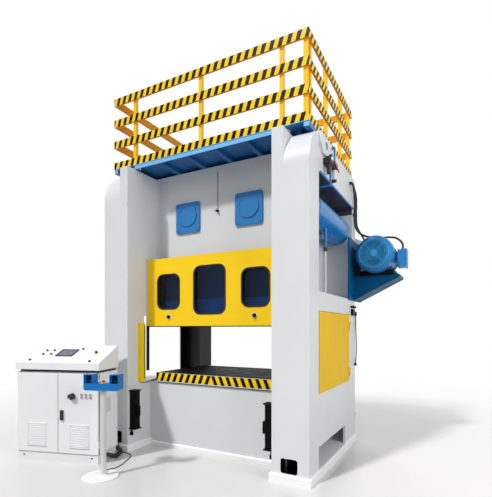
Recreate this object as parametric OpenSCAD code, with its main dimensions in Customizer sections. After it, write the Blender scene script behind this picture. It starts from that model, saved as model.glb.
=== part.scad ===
// Two-point eccentric press: straight-side frame, counter-rotating eccentric gears,
// front guard, service platform, control desk and two-hand stand.
// The origin is on the floor, midway between the columns and between their front and rear.
// +X is to the operator's right, +Y to the rear and +Z up.

/* [Frame] */
// Overall width across both columns
press_w = 2980; // [2940:10:3060]
// Overall depth of a column
press_d = 2040; // [2020:10:2100]
// Width of one column
col_w = 430; // [420:5:450]
// Height of the columns and the crown
frame_h = 3835; // [3825:5:3860]
// Steel plate of the columns
plate = 30; // [24:1:32]
// Depth of the closed box at the front of a column
front_box_d = 320; // [310:5:330]
// Depth of the closed box at the rear of a column
rear_box_d = 180; // [170:5:190]
// Radius of the rolled plate that closes the front box at its top
roll_r = 450; // [430:10:460]
// Width of the straight upright beside the rolled plate
strip_w = 135; // [130:1:145]
// Thickness of a column's foot slab
foot_t = 90; // [80:5:100]
// How far a foot slab stands out from its column
foot_out = 25; // [15:5:40]
// Radius of the tie rods
tie_r = 32; // [26:1:33]
// Radius of the foundation bolt holes
anchor_r = 18; // [14:1:22]
// Height of the lowest edge of the window through a column
window_z = 920; // [910:5:930]
// Height of the window through a column
window_h = 930; // [900:10:940]
// Length of the window through a column, front to rear
window_l = 1360; // [1300:10:1400]
// Height of the lowest edge of the outer recess that holds the air tank
recess_z = 2067; // [2050:1:2080]
// Distance from the frame's top down to the recess's upper edge
recess_drop = 450; // [440:2:470]
// Length of the low hand opening in a column's side
hand_l = 1150; // [1000:10:1250]
// Height of the low hand opening above the foot slab
hand_h = 245; // [200:5:260]
// Width of the square cable opening in a column's front
cable_w = 195; // [150:5:200]
// Height of that cable opening
cable_h = 160; // [120:5:170]

/* [Bed and bolster] */
// Depth of the bed
bed_d = 1160; // [1120:10:1180]
// Height of the bed
bed_h = 895; // [885:5:905]
// Thickness of the bed's long walls
bed_wall = 40; // [30:5:50]
// Width of the bolster plate
bolster_w = 1810; // [1700:10:1900]
// Depth of the bolster plate
bolster_d = 1200; // [1190:2:1210]
// Thickness of the bolster plate
bolster_t = 140; // [120:5:150]
// Width of a T-slot's neck
slot_w = 28; // [18:2:32]
// Distance from one T-slot to the next
slot_pitch = 180; // [150:5:190]

/* [Crown] */
// Distance from the centre plane to the crown's front face
crown_front = 440; // [430:5:450]
// Distance from the centre plane to the crown's rear face
crown_rear = 620; // [600:10:640]
// Height of the crown, down from the frame's top
crown_h = 1285; // [1275:5:1295]
// Thickness of the crown's front and rear walls
crown_wall = 40; // [36:1:44]
// Width and height of a blue gear cover
cover_w = 397; // [370:1:420]
// Height of a blue gear cover
cover_h = 422; // [410:2:440]
// Thickness of a gear cover
cover_t = 25; // [15:1:30]
// Radius of the raised boss on a gear cover
cover_boss_r = 152; // [140:1:156]

/* [Lifting] */
// Thickness of a lifting plate on a column's outer face
lug_t = 30; // [20:1:34]
// Distance from the centre plane to the middle of a lifting plate
lug_y = -500; // [-520:5:-500]
// Radius of the hole in a lifting plate
lug_hole_r = 45; // [36:1:50]

/* [Drive] */
// Stroke of the slide
stroke = 200; // [180:10:210]
// Teeth of an eccentric gear
gear_teeth = 48; // [48:12:48]
// Teeth of the pinion
pinion_teeth = 12; // [12:12:12]
// Gear module
gear_module = 20; // [19.9:0.1:20.1]
// Distance from the frame's top down to the eccentric gears' axes
gear_drop = 570; // [560:5:580]
// Width of the gear rims
gear_face = 150; // [130:5:160]
// Radius of the fixed pins that carry the eccentric gears
gear_pin_r = 100; // [90:1:105]
// Radius of the eccentrics
ecc_r = 250; // [245:1:260]
// Distance from the eccentric's centre to the ball's centre on a connecting rod
rod_l = 1150; // [1140:5:1160]
// Thickness of a connecting rod
rod_t = 140; // [120:2:146]
// Radius of the ball at the foot of a connecting rod
ball_r = 80; // [70:1:84]
// Running clearance of a shaft in its bore
run_gap = 0.05; // [0.03:0.01:0.08]
// Angle of the pinion below the right gear's axis
pinion_angle = 50; // [48:1:52]
// Radius of the pinion shaft
pinion_shaft_r = 60; // [50:1:65]
// Outer radius of the sleeve that carries the flywheel
sleeve_r = 100; // [90:1:110]
// Radius of the flywheel at the belts
flywheel_r = 440; // [420:5:450]
// Width of the flywheel and the motor pulley
wheel_w = 140; // [130:2:146]
// Distance from the centre plane to the flywheel's front face
wheel_y = 1420; // [1415:5:1440]
// Belts side by side
belt_count = 5; // [3:1:5]
// Width of one belt
belt_w = 20; // [16:1:21]
// Thickness of a belt
belt_t = 14; // [10:1:16]

/* [Slide] */
// Width of the slide's body
slide_w = 1760; // [1740:10:1780]
// Depth of the slide's body
slide_d = 960; // [900:10:1000]
// Height of the slide
slide_h = 750; // [720:10:760]
// Distance from the connecting rods' balls down to the slide's underside
slide_drop = 465; // [450:5:470]
// Thickness of the slide's walls
slide_wall = 40; // [30:2:44]
// Length of the guide rail on each side of the slide, front to rear
rail_l = 600; // [560:10:640]
// How far that guide rail stands out
rail_out = 140; // [120:5:150]
// Running clearance between the slide and its gibs
slide_gap = 0.3; // [0.2:0.1:0.6]
// Depth of one gib, front to rear
gib_d = 120; // [100:5:130]

/* [Motor] */
// Distance from the centre plane to the motor's axis
motor_x = 1832; // [1820:2:1850]
// Height of the motor's axis above the bracket's shelf
motor_h = 270; // [264:2:280]
// Height of the bracket's shelf
shelf_z = 2410; // [2400:5:2420]
// Radius of the motor over its cooling fins
motor_r = 245; // [238:1:248]
// Distance from the centre plane to the fan cover's face
fan_y = 620; // [610:5:640]
// Length of the fan cover
fan_l = 190; // [170:5:200]
// Distance from the centre plane to the motor's drive end
drive_end_y = 1370; // [1360:5:1385]
// Radius of the motor shaft
motor_shaft_r = 32; // [24:1:38]
// Radius of the motor pulley at the belts
pulley_r = 110; // [110:5:110]
// How far the bracket reaches out from the column
bracket_out = 640; // [625:5:660]
// Height of the bracket at the column
bracket_drop = 348; // [340:4:380]
// Thickness of the bracket's plates
bracket_t = 15; // [12:1:20]

/* [Platform] */
// Half the width of the platform
deck_x = 1440; // [1420:5:1460]
// Distance from the centre plane to the platform's front edge
deck_front = 890; // [880:5:900]
// Distance from the centre plane to the platform's rear edge
deck_rear = 1024; // [1015:3:1040]
// Height of the beams under the deck plate
beam_h = 54; // [50:1:60]
// Thickness of the deck plate
deck_t = 6; // [5:1:8]
// Height of a rail and of the toe board
rail_h = 100; // [80:5:110]
// Thickness of a rail
rail_t = 25; // [20:1:30]
// Height from one rail to the next
rail_pitch = 300; // [290:5:310]
// Side of a square railing post
post_w = 46; // [40:1:48]

/* [Front guard] */
// Width of the sliding guard
guard_w = 2106; // [2090:2:2110]
// Height of the sliding guard
guard_h = 937; // [920:1:950]
// Height of the guard's lowest edge
guard_z = 1687; // [1680:1:1695]
// Distance from the centre plane to the guard's rear face
guard_y = 615; // [612:1:622]
// Thickness of the guard
guard_t = 30; // [24:1:34]
// Width of the middle window
mid_window_w = 482; // [440:2:520]
// Height of the middle window
mid_window_h = 625; // [600:5:640]
// Width of a side window
side_window_w = 376; // [340:2:400]
// Height of a side window
side_window_h = 470; // [440:5:490]
// Distance from the centre to the middle of a side window
side_window_x = 672; // [660:2:690]
// Corner radius of the windows
window_r = 95; // [70:5:110]
// Thickness of the window panes
pane_t = 6; // [4:1:8]
// Distance from the centre to a guard lock
lock_x = 662; // [640:2:700]
// How far the guard slides down
guard_travel = 600; // [500:20:620]

/* [Side equipment] */
// Radius of the air tank
tank_r = 192; // [180:2:194]
// Distance from the centre plane to the tank's axis
tank_x = 1285; // [1284:1:1294]
// Distance from the frame's top down to the tank's axis
tank_drop = 785; // [775:5:805]
// Thickness of the side door's leaf
door_t = 30; // [20:1:36]
// Gap around the side door's leaf
door_gap = 5; // [3:1:8]
// Radius of the air pipes
pipe_r = 12; // [9:1:14]
// Distance from the centre plane to the filter-regulator
frl_y = -440; // [-445:5:-435]
// Distance from the frame's top down to the air service unit
frl_drop = 275; // [270:5:280]

/* [Control desk] */
// Width of the desk
desk_w = 1140; // [1120:10:1160]
// Depth of the desk
desk_d = 438; // [430:2:450]
// Height of the desk's plinth
plinth_h = 112; // [100:2:120]
// Height of the cabinet's top
cabinet_h = 1110; // [1100:5:1120]
// Height of the recessed neck between the cabinet and the console
neck_h = 30; // [20:5:40]
// Height of the console's front lip above the cabinet
lip_rise = 125; // [115:5:135]
// Height of the console's rear edge above its front lip
desk_rise = 190; // [165:5:205]
// Sheet of the desk
desk_sheet = 3; // [2:0.5:4]
// Width of the left door
left_door_w = 568; // [550:2:590]
// Width of the screen
screen_w = 222; // [200:2:240]
// Depth of the screen along the slope
screen_d = 165; // [150:5:180]

/* [Two-hand stand] */
// Radius of the stand's foot disc
disc_r = 195; // [180:5:210]
// Thickness of the foot disc
disc_t = 18; // [12:1:24]
// Radius of the stand's post
post_r = 30; // [24:1:36]
// Height of the underside of the control box
box_z = 967; // [940:5:990]
// Width of the control box
box_w = 408; // [396:4:430]
// Depth of the control box
box_d = 125; // [110:5:140]
// Height of the control box
box_h = 78; // [70:2:86]
// Height of the shrouds over the palm buttons
shroud_h = 100; // [90:2:110]
// Radius of a mushroom button's stem
stem_r = 10; // [7:0.5:12]

/* [Hidden] */
$fn = 64;
hw = press_w / 2;
in_x = hw - col_w;
front_y = -press_d / 2;
rear_y = press_d / 2;
box_y = front_y + front_box_d;
rbox_y = rear_y - rear_box_d;
window_y1 = box_y + window_l;
recess_h = frame_h - recess_drop - recess_z;
floors = [window_z - plate, window_z + window_h, recess_z - plate, recess_z + recess_h, frame_h - plate];
roll_z = frame_h - sqrt(roll_r * roll_r - pow(roll_r - front_box_d + 18, 2));
tie_x = in_x + strip_w / 2;
tie_front_y = box_y - 70;
tie_rear_y = rear_y - rear_box_d / 2;
anchor_x = hw - 110;
anchor_y = rear_y - 90;
bed_y = bed_d / 2;
bolster_z = bed_h + bolster_t;
crown_z = frame_h - crown_h;
throw = stroke / 2;
lug_hole_z = frame_h - 90;
tank_z = frame_h - tank_drop;
frl_z = frame_h - frl_drop;
sensor_z = frame_h - 606;
gear_r = gear_teeth * gear_module / 2;
pinion_r = pinion_teeth * gear_module / 2;
gear_x = gear_r;
gear_z = frame_h - gear_drop;
gear_y0 = rod_t / 2 + 80;
pinion_x = gear_x + (gear_r + pinion_r) * cos(pinion_angle);
pinion_z = gear_z - (gear_r + pinion_r) * sin(pinion_angle);
wheel_end_y = wheel_y + wheel_w;
ball_z = gear_z + throw - rod_l;
slide_z = ball_z - slide_drop;
slide_top = slide_z + slide_h;
well_z = ball_z - ball_r - 30;
strap_r = ecc_r + 70;
shelf_y0 = rear_y - 120;
shelf_y1 = drive_end_y - 30;
motor_z = shelf_z + motor_h;
deck_z = frame_h + beam_h;
deck_top = deck_z + deck_t;
rail_levels = [for (k = [0:3]) deck_z + k * rail_pitch];
post_top = rail_levels[3] + rail_h + 8;
guard_mid_z = guard_z + 0.503 * guard_h;
desk_x = -2069;
desk_y = -1905;
desk_turn = 17;
console_z = cabinet_h + neck_h;
lip_h = cabinet_h + lip_rise;
desk_h = lip_h + desk_rise;
door_pin = 6;
door_hinge_z = [plinth_h + 120, cabinet_h - 120];
stand_x = -626;
stand_y = -1817;
stand_turn = 20;
slope = atan((desk_h - lip_h) / (desk_d - 8));
steel = "gainsboro";
yellow = [0.98, 0.80, 0.05];
blue = [0.10, 0.42, 0.72];
navy = [0.07, 0.22, 0.42];
black = [0.05, 0.05, 0.06];

// Routes of the cables: centre points that the cable follows from end to end
stand_cable_r = 5;
stand_cable_route = [
    [-657, -1784, 60], [-676, -1764, 60], [-690, -1726, 44], [-699, -1688, 27], [-706, -1655, 24],
    [-713, -1622, 20], [-719, -1592, 9], [-723, -1560, 5.5],
    [-725, -1520, 5.5], [-729, -1476, 5.5], [-746, -1408, 5.5], [-783, -1325, 5.5], [-832, -1220, 5.5],
    [-880, -1140, 5.5], [-950, -1094, 5.5], [-1030, -1078, 5.5], [-1100, -1072, 5.5], [-1146, -1068, 20],
    [-1176, -1062, 60], [-1192, -1050, 100], [-1198, -1026, 120], [-1198, -1000, 122], [-1198, -975, 122]];
loom_r = 26;
loom_route = [
    [-1023, -1426, 82], [-998, -1418.4, 82], [-974, -1400, 76], [-964, -1366, 58], [-976, -1320, 40],
    [-1000, -1268, 31], [-1026, -1212, 29], [-1054, -1160, 33], [-1086, -1124, 41], [-1126, -1109, 52],
    [-1166, -1105, 68], [-1204, -1095, 90], [-1236, -1072, 114], [-1254, -1040, 132], [-1258, -1008, 140],
    [-1258, -975, 140]];
conduit_r = 15;
conduit_route = [
    [1502, 700, 3712], [1520, 700, 3712], [1532, 724, 3688], [1532, 760, 3630], [1531, 804, 3555],
    [1526, 850, 3460], [1518, 880, 3340], [1516, 895, 3225], [1530, 905, 3120], [1572, 920, 3050],
    [1635, 935, 3004], [1715, 948, 2976], [1800, 950, 2958], [1900, 950, 2946], [1985, 950, 2944],
    [2070, 950, 2926], [2132, 950, 2880], [2166, 950, 2826], [2166, 950, 2776]];
hose_r = 8;
hose_route = [
    [1508, 990, 1838], [1508, 990, 1800], [1508, 992, 1700], [1510, 996, 1600], [1513, 1000, 1500],
    [1515, 1002, 1400], [1514, 1000, 1300], [1511, 996, 1220], [1508, 990, 1168], [1508, 990, 1138]];

// ---- shared shapes ----

// Block between two opposite corners
module block(a, b) {
    translate(a) cube(b - a);
}

// Cylinder along Y from y0 to y1
module rod_y(r, y0, y1) {
    translate([0, y1, 0]) rotate([90, 0, 0]) cylinder(r = r, h = y1 - y0);
}

// Cylinder along X from x0 to x1
module rod_x(r, x0, x1) {
    translate([x0, 0, 0]) rotate([0, 90, 0]) cylinder(r = r, h = x1 - x0);
}

// Extrudes an XZ outline along Y from y0 to y1
module sheet_y(y0, y1) {
    translate([0, y1, 0]) rotate([90, 0, 0]) linear_extrude(y1 - y0) children();
}

// Extrudes a YZ outline along X from x0 to x1
module sheet_x(x0, x1) {
    translate([x0, 0, 0]) rotate([90, 0, 90]) linear_extrude(x1 - x0) children();
}

// Rectangle with round corners, centred
module round_rect(w, h, r) {
    union() {
        square([w - 2 * r, h], center = true);
        square([w, h - 2 * r], center = true);
        for (x = [-1, 1], y = [-1, 1]) translate([x * (w / 2 - r), y * (h / 2 - r)]) circle(r);
    }
}

// Outline from (a, 0) to (b, h) whose two top corners are round
module top_round(a, b, h, r) {
    translate([a, 0]) square([b - a, h - r]);
    translate([a + r, 0]) square([b - a - 2 * r, h]);
    for (x = [a + r, b - r]) translate([x, h - r]) circle(r);
}

// Slab on the floor whose top edges are round
module foot_slab(a, b, h, r) {
    intersection() {
        sheet_y(a[1], b[1]) top_round(a[0], b[0], h, r);
        sheet_x(a[0], b[0]) top_round(a[1], b[1], h, r);
    }
}

// The same piece on the left and on the right
module both_sides() {
    children();
    mirror([1, 0, 0]) children();
}

// Screw with a hexagon head, pointing along +Z from its seat
module hex_screw(r, h) {
    cylinder(r = r, h = h, $fn = 6);
}

function unit(v) = v / norm(v);
// Catmull-Rom point between p[i] and p[i + 1]
function route_point(p, i, t) =
    let (a = p[max(i - 1, 0)], b = p[i], c = p[i + 1], d = p[min(i + 2, len(p) - 1)])
    0.5 * (2 * b + (c - a) * t + (2 * a - 5 * b + 4 * c - d) * t * t + (3 * b - a - 3 * c + d) * t * t * t);
function route_line(p, k) =
    concat([for (i = [0:len(p) - 2], j = [0:k - 1]) route_point(p, i, j / k)], [p[len(p) - 1]]);
function upright(n, t) = unit(n - (n * t) * t);
// Side vectors carried along the headings t without twist
function side_vectors(t, i, n) =
    i >= len(t) ? [] : let (m = upright(n, t[i])) concat([m], side_vectors(t, i + 1, m));

// Tube of a cable along its route, k rings for each stretch of the route, its ends square to the route
module cable(route, r, k, sides = 8) {
    p = route_line(route, k);
    last = len(p) - 1;
    end = len(route) - 1;
    t = [for (i = [0:last]) i == 0 ? unit(route[1] - route[0])
        : i == last ? unit(route[end] - route[end - 1]) : unit(p[i + 1] - p[i - 1])];
    n = side_vectors(t, 0, abs(t[0][2]) > 0.9 ? [1, 0, 0] : [0, 0, 1]);
    points = [for (i = [0:last], j = [0:sides - 1])
        let (a = 360 * j / sides, m = cross(t[i], n[i])) p[i] + r * (cos(a) * n[i] + sin(a) * m)];
    walls = [for (i = [0:last - 1], j = [0:sides - 1])
        let (a = i * sides + j, b = i * sides + (j + 1) % sides) [a, a + sides, b + sides, b]];
    ends = [[for (j = [0:sides - 1]) j], [for (j = [sides - 1:-1:0]) last * sides + j]];
    polyhedron(points, concat(walls, ends));
}

// ---- frame ----

// Closed front box of the right column, drawn t inside its outer faces
module front_box(t) {
    intersection() {
        translate([in_x + t, front_y + roll_r, roll_z]) rotate([0, 90, 0])
            cylinder(r = roll_r - t, h = col_w - 2 * t, $fn = 96);
        block([in_x + t, front_y + t, roll_z - 1], [hw - t, box_y - t, frame_h - t]);
    }
    block([in_x + t, front_y + t, foot_t], [hw - t, box_y - t, roll_z]);
}

// Upright beside the rolled plate
module front_strip(t) {
    block([in_x + t, front_y + t, foot_t], [in_x + strip_w - t, box_y - t, frame_h - t]);
}

module column() {
    color(steel) difference() {
        union() {
            foot_slab([in_x - foot_out, front_y - foot_out], [hw + foot_out, rear_y + foot_out], foot_t, 22);
            difference() {
                union() {
                    front_box(0);
                    front_strip(0);
                }
                front_box(plate);
                front_strip(plate);
            }
            difference() {
                block([in_x, rbox_y, foot_t], [hw, rear_y, frame_h]);
                block([in_x + plate, rbox_y + plate, foot_t], [hw - plate, rear_y - plate, frame_h - plate]);
            }
            for (x = [in_x, hw - plate]) block([x, box_y, foot_t], [x + plate, rbox_y, frame_h]);
            for (z = floors) block([in_x, box_y, z], [hw, rbox_y, z + plate]);
        }
        // window through both side walls
        block([in_x - 1, box_y, window_z], [hw + 1, window_y1, window_z + window_h]);
        // outer recess over the whole length between the two boxes
        block([hw - plate - 1, box_y, recess_z], [hw + 1, rbox_y, recess_z + recess_h]);
        // low hand opening
        block([hw - plate - 1, box_y, foot_t], [hw + 1, box_y + hand_l, foot_t + hand_h]);
        // square cable opening with one round corner row
        translate([in_x + 105 + cable_w / 2, 0, foot_t + 10 + cable_h / 2])
            sheet_y(front_y - 1, front_y + plate + 1) round_rect(cable_w, cable_h, 28);
        for (y = [tie_front_y, tie_rear_y]) translate([tie_x, y, 0]) {
            translate([0, 0, -1]) cylinder(r = tie_r + 3, h = frame_h + 2);
            translate([0, 0, -1]) cylinder(r = 1.7 * tie_r, h = 66);
        }
        for (y = [-anchor_y, anchor_y]) translate([anchor_x, y, -1]) cylinder(r = anchor_r, h = foot_t + 2);
        // clears the shackle pin behind the lifting plate
        translate([0, lug_y, lug_hole_z]) rod_x(lug_hole_r + 5, hw - plate - 1, hw + 1);
    }
}

module column_left() { mirror([1, 0, 0]) column(); }
module column_right() { column(); }

// One solid for each rod with the nut at its head and the nut in its foot pocket
module tie_rods() {
    color("dimgray") both_sides() for (y = [tie_front_y, tie_rear_y]) translate([tie_x, y, 0]) {
        translate([0, 0, 4]) cylinder(r = tie_r, h = frame_h + 66);
        translate([0, 0, 6]) hex_screw(1.35 * tie_r, 59);
        translate([0, 0, frame_h]) hex_screw(1.35 * tie_r, 58);
    }
}

module bed() {
    color(steel) difference() {
        union() {
            block([-in_x, -bed_y, 0], [in_x, bed_y, bed_h]);
            foot_slab([foot_out - in_x, -bed_y - foot_out], [in_x - foot_out, bed_y + foot_out], 55, 18);
        }
        // room for the column feet
        both_sides() block([in_x - foot_out, -bed_y - foot_out - 1, -1],
            [in_x + 1, bed_y + foot_out + 1, foot_t]);
        block([-in_x + bed_wall, -bed_y + bed_wall, 55], [-260, bed_y - bed_wall, bed_h - 60]);
        block([260, -bed_y + bed_wall, 55], [in_x - bed_wall, bed_y - bed_wall, bed_h - 60]);
        block([-220, -bed_y + bed_wall, 55], [220, bed_y - bed_wall, bed_h + 1]);
        // scrap chute through the rear wall
        block([-220, bed_y - bed_wall - 1, 120], [220, bed_y + 1, 560]);
    }
}

// T-slots from side to side, cut upward into a face at z = 0
module t_slots(w, reach) {
    for (y = [-reach:slot_pitch:reach]) translate([0, y, 0]) {
        block([-w / 2 - 1, -slot_w / 2, -1], [w / 2 + 1, slot_w / 2, 50]);
        block([-w / 2 - 1, -slot_w, 42], [w / 2 + 1, slot_w, 68]);
    }
}

// Bolster plate
module bolster() {
    color([0.12, 0.12, 0.13]) difference() {
        block([-bolster_w / 2, -bolster_d / 2, bed_h], [bolster_w / 2, bolster_d / 2, bolster_z]);
        translate([0, 0, bolster_z]) mirror([0, 0, 1]) t_slots(bolster_w, 2.5 * slot_pitch);
    }
}

module crown() {
    color(steel) difference() {
        block([-in_x, -crown_front, crown_z], [in_x, crown_rear, frame_h]);
        // gear room, closed by the columns at both ends
        difference() {
            block([-in_x - 1, crown_wall - crown_front, crown_z + 30],
                [in_x + 1, crown_rear - crown_wall, frame_h - 30]);
            // inner wall that carries the pinion's front bearing
            block([740, gear_y0 - 65, crown_z], [in_x, gear_y0 - 15, pinion_z + 160]);
        }
        // ways for the connecting rods through the floor
        for (s = [-1, 1])
            block([s * gear_x - 300, -200, crown_z - 1], [s * gear_x + 300, 200, crown_z + 31]);
        for (s = [-1, 1]) translate([s * gear_x, 0, gear_z])
            rod_y(gear_pin_r, -crown_front - 1, crown_rear + 1);
        translate([pinion_x, 0, pinion_z]) {
            rod_y(pinion_shaft_r + 25, gear_y0 - 70, gear_y0);
            rod_y(pinion_shaft_r + 50, crown_rear - crown_wall - 1, crown_rear + 1);
        }
    }
}

// Blue covers over the front ends of the gear pins
module gear_covers() {
    color(blue) for (s = [-1, 1]) translate([s * gear_x, 0, gear_z]) {
        difference() {
            union() {
                translate([0, 0, -70]) sheet_y(-crown_front - cover_t, -crown_front)
                    round_rect(cover_w, cover_h, 32);
                translate([0, 0, -40])
                    rod_y(cover_boss_r, -crown_front - cover_t - 12, -crown_front - cover_t);
            }
            translate([0, 0, -40])
                rod_y(cover_boss_r - 18, -crown_front - cover_t - 13, -crown_front - cover_t - 7);
            rod_y(gear_pin_r + 4, -crown_front - 15, -crown_front + 1);
        }
        for (x = [-1, 1], z = [-1, 1])
            translate([x * (cover_w / 2 - 34), -crown_front - cover_t, z * (cover_h / 2 - 34) - 70])
                rotate([90, 0, 0]) hex_screw(12, 9);
    }
}

module gear_pins() {
    color("silver") for (s = [-1, 1]) translate([s * gear_x, 0, gear_z]) {
        rod_y(gear_pin_r, -crown_front - 12, crown_rear + 20);
        rod_y(gear_pin_r + 45, crown_rear, crown_rear + 20);
    }
}

// Front bearing ring in the inner wall, and the rear flange with the sleeve that carries the flywheel
module pinion_bearings() {
    color("dimgray") translate([pinion_x, 0, pinion_z]) difference() {
        union() {
            rod_y(pinion_shaft_r + 25, gear_y0 - 65, gear_y0 - 15);
            rod_y(pinion_shaft_r + 50, crown_rear - crown_wall, crown_rear);
            rod_y(pinion_shaft_r + 115, crown_rear, crown_rear + 35);
            rod_y(sleeve_r, crown_rear + 35, wheel_end_y + 10);
            rod_y(sleeve_r + 20, wheel_y - 60, wheel_y - 10);
        }
        rod_y(pinion_shaft_r + run_gap, -crown_front, wheel_end_y + 20);
    }
}

module slide_gibs() {
    color("darkgoldenrod") both_sides() for (s = [-1, 1]) {
        y0 = rail_l / 2 + slide_gap;
        translate([0, s > 0 ? y0 : -y0 - gib_d, 0])
            block([slide_w / 2 + 20, 0, window_z + window_h + 20], [in_x, gib_d, slide_top + 40]);
    }
}

// ---- drive ----

// Straight-flanked gear outline; turn is the angle of its first tooth
module gear_outline(teeth, turn) {
    r = teeth * gear_module / 2;
    step = 360 / teeth;
    foot = r - 1.1 * gear_module;
    tip = r + 0.8 * gear_module;
    polygon([for (k = [0:teeth - 1], c = [[-0.25, foot], [-0.10, tip], [0.10, tip], [0.25, foot]])
        let (a = turn + step * (k + c[0])) c[1] * [cos(a), sin(a)]]);
}

// Gear casting with its hub and eccentric in one piece; the eccentric stands at the top of its throw
module eccentric_gear(s) {
    hub_y0 = -crown_front + crown_wall + 2;
    hub_y1 = crown_rear - crown_wall - 2;
    color("slategray") translate([s * gear_x, 0, gear_z]) difference() {
        union() {
            difference() {
                sheet_y(gear_y0, gear_y0 + gear_face) gear_outline(gear_teeth, s > 0 ? 0 : 180 / gear_teeth);
                for (y = [gear_y0 - 1, gear_y0 + gear_face - 40]) difference() {
                    rod_y(gear_r - 70, y, y + 41);
                    rod_y(gear_pin_r + 75, y - 1, y + 42);
                }
                for (a = [0:60:300]) rotate([0, a + 30, 0]) translate([290, 0, 0])
                    rod_y(60, gear_y0 + 6, gear_y0 + gear_face - 6);
            }
            translate([0, 0, throw]) rod_y(ecc_r, -rod_t / 2 - 4, gear_y0 + 50);
            rod_y(gear_pin_r + 38, hub_y0, hub_y1);
        }
        rod_y(gear_pin_r + run_gap, hub_y0 - 1, hub_y1 + 1);
    }
}

module eccentric_gear_left() { eccentric_gear(-1); }
module eccentric_gear_right() { eccentric_gear(1); }

// Connecting rod: strap round the eccentric, tapered shank and ball foot
module conrod(s) {
    color("gray") translate([s * gear_x, 0, 0]) difference() {
        union() {
            translate([0, 0, gear_z + throw]) rod_y(strap_r, -rod_t / 2, rod_t / 2);
            sheet_y(-rod_t / 2 + 10, rod_t / 2 - 10)
                polygon([[-115, gear_z + throw - ecc_r], [115, gear_z + throw - ecc_r],
                    [50, ball_z], [-50, ball_z]]);
            translate([0, 0, ball_z]) sphere(r = ball_r);
        }
        translate([0, 0, gear_z + throw]) rod_y(ecc_r + run_gap, -rod_t, rod_t);
    }
}

module conrod_left() { conrod(-1); }
module conrod_right() { conrod(1); }

// Pinion cut on its shaft, with the clutch disc at the rear end
module pinion_shaft() {
    color("silver") translate([pinion_x, 0, pinion_z]) {
        rod_y(pinion_shaft_r, gear_y0 - 65, wheel_end_y + 60);
        sheet_y(gear_y0 - 5, gear_y0 + gear_face + 5)
            gear_outline(pinion_teeth, 180 - pinion_angle * (1 + gear_teeth / pinion_teeth) + 15);
        rod_y(pinion_shaft_r + 150, wheel_end_y + 14, wheel_end_y + 40);
        rod_y(pinion_shaft_r + 40, wheel_end_y + 40, wheel_end_y + 70);
    }
}

// Pulley rim with one groove for each belt, turned about Y from y = 0 to wheel_w
module grooved_rim(r, inner) {
    pitch = belt_w + 4;
    y0 = (wheel_w - belt_count * pitch) / 2;
    translate([0, wheel_w, 0]) rotate([90, 0, 0]) difference() {
        cylinder(r = r + 5, h = wheel_w, $fn = 96);
        for (k = [0:belt_count - 1]) translate([0, 0, y0 + 2 + k * pitch]) difference() {
            cylinder(r = r + 6, h = belt_w, $fn = 96);
            translate([0, 0, -1]) cylinder(r = r - belt_t / 2 - 0.4, h = belt_w + 2, $fn = 96);
        }
        translate([0, 0, -1]) cylinder(r = inner, h = wheel_w + 2, $fn = 96);
    }
}

module flywheel() {
    color("dimgray") translate([pinion_x, wheel_y, pinion_z]) {
        grooved_rim(flywheel_r, flywheel_r - 75);
        difference() {
            union() {
                rod_y(flywheel_r - 70, 45, wheel_w - 45);
                rod_y(sleeve_r + 60, 0, wheel_w);
            }
            rod_y(sleeve_r + run_gap, -1, wheel_w + 1);
            for (a = [0:60:300]) rotate([0, a, 0]) translate([265, 0, 0]) rod_y(62, 0, wheel_w);
        }
    }
}

module motor_rotor() {
    color("silver") translate([motor_x, 0, motor_z]) {
        rod_y(motor_shaft_r, fan_y + 60, wheel_end_y + 4);
        // fan: hub disc and blades
        rod_y(70, fan_y + 70, fan_y + 130);
        for (a = [0:45:315]) rotate([0, a, 0]) block([60, fan_y + 70, -4], [205, fan_y + 125, 4]);
    }
}

module motor_pulley() {
    color("dimgray") translate([motor_x, wheel_y, motor_z]) grooved_rim(pulley_r, motor_shaft_r);
}

belt_span = norm([motor_x - pinion_x, motor_z - pinion_z]);
belt_line = atan2(motor_z - pinion_z, motor_x - pinion_x);
belt_wrap = acos((flywheel_r - pulley_r) / belt_span);

// Outline round both pulleys, o outside their pitch lines
module belt_outline(o) {
    translate([pinion_x, pinion_z]) circle(flywheel_r + o, $fn = 96);
    translate([motor_x, motor_z]) circle(pulley_r + o, $fn = 96);
    a = belt_line + belt_wrap;
    b = belt_line - belt_wrap;
    polygon([[pinion_x, pinion_z] + (flywheel_r + o) * [cos(a), sin(a)],
        [motor_x, motor_z] + (pulley_r + o) * [cos(a), sin(a)],
        [motor_x, motor_z] + (pulley_r + o) * [cos(b), sin(b)],
        [pinion_x, pinion_z] + (flywheel_r + o) * [cos(b), sin(b)]]);
}

module v_belts() {
    pitch = belt_w + 4;
    y0 = wheel_y + (wheel_w - belt_count * pitch) / 2 + 2;
    color(black) for (k = [0:belt_count - 1]) sheet_y(y0 + k * pitch + 0.3, y0 + k * pitch + belt_w - 0.3)
        difference() {
            belt_outline(belt_t / 2);
            belt_outline(-belt_t / 2);
        }
}

module belt_guard() {
    y0 = wheel_y - 24;
    y1 = wheel_end_y + 110;
    color(steel) difference() {
        sheet_y(y0, y1) belt_outline(50);
        sheet_y(y0 + 4, y1 - 4) belt_outline(46);
        translate([pinion_x, 0, pinion_z]) rod_y(sleeve_r + 20.3, y0 - 1, y0 + 5);
        translate([motor_x, 0, motor_z]) rod_y(motor_shaft_r + 30, y0 - 1, y0 + 5);
    }
}

// ---- slide ----

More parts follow.
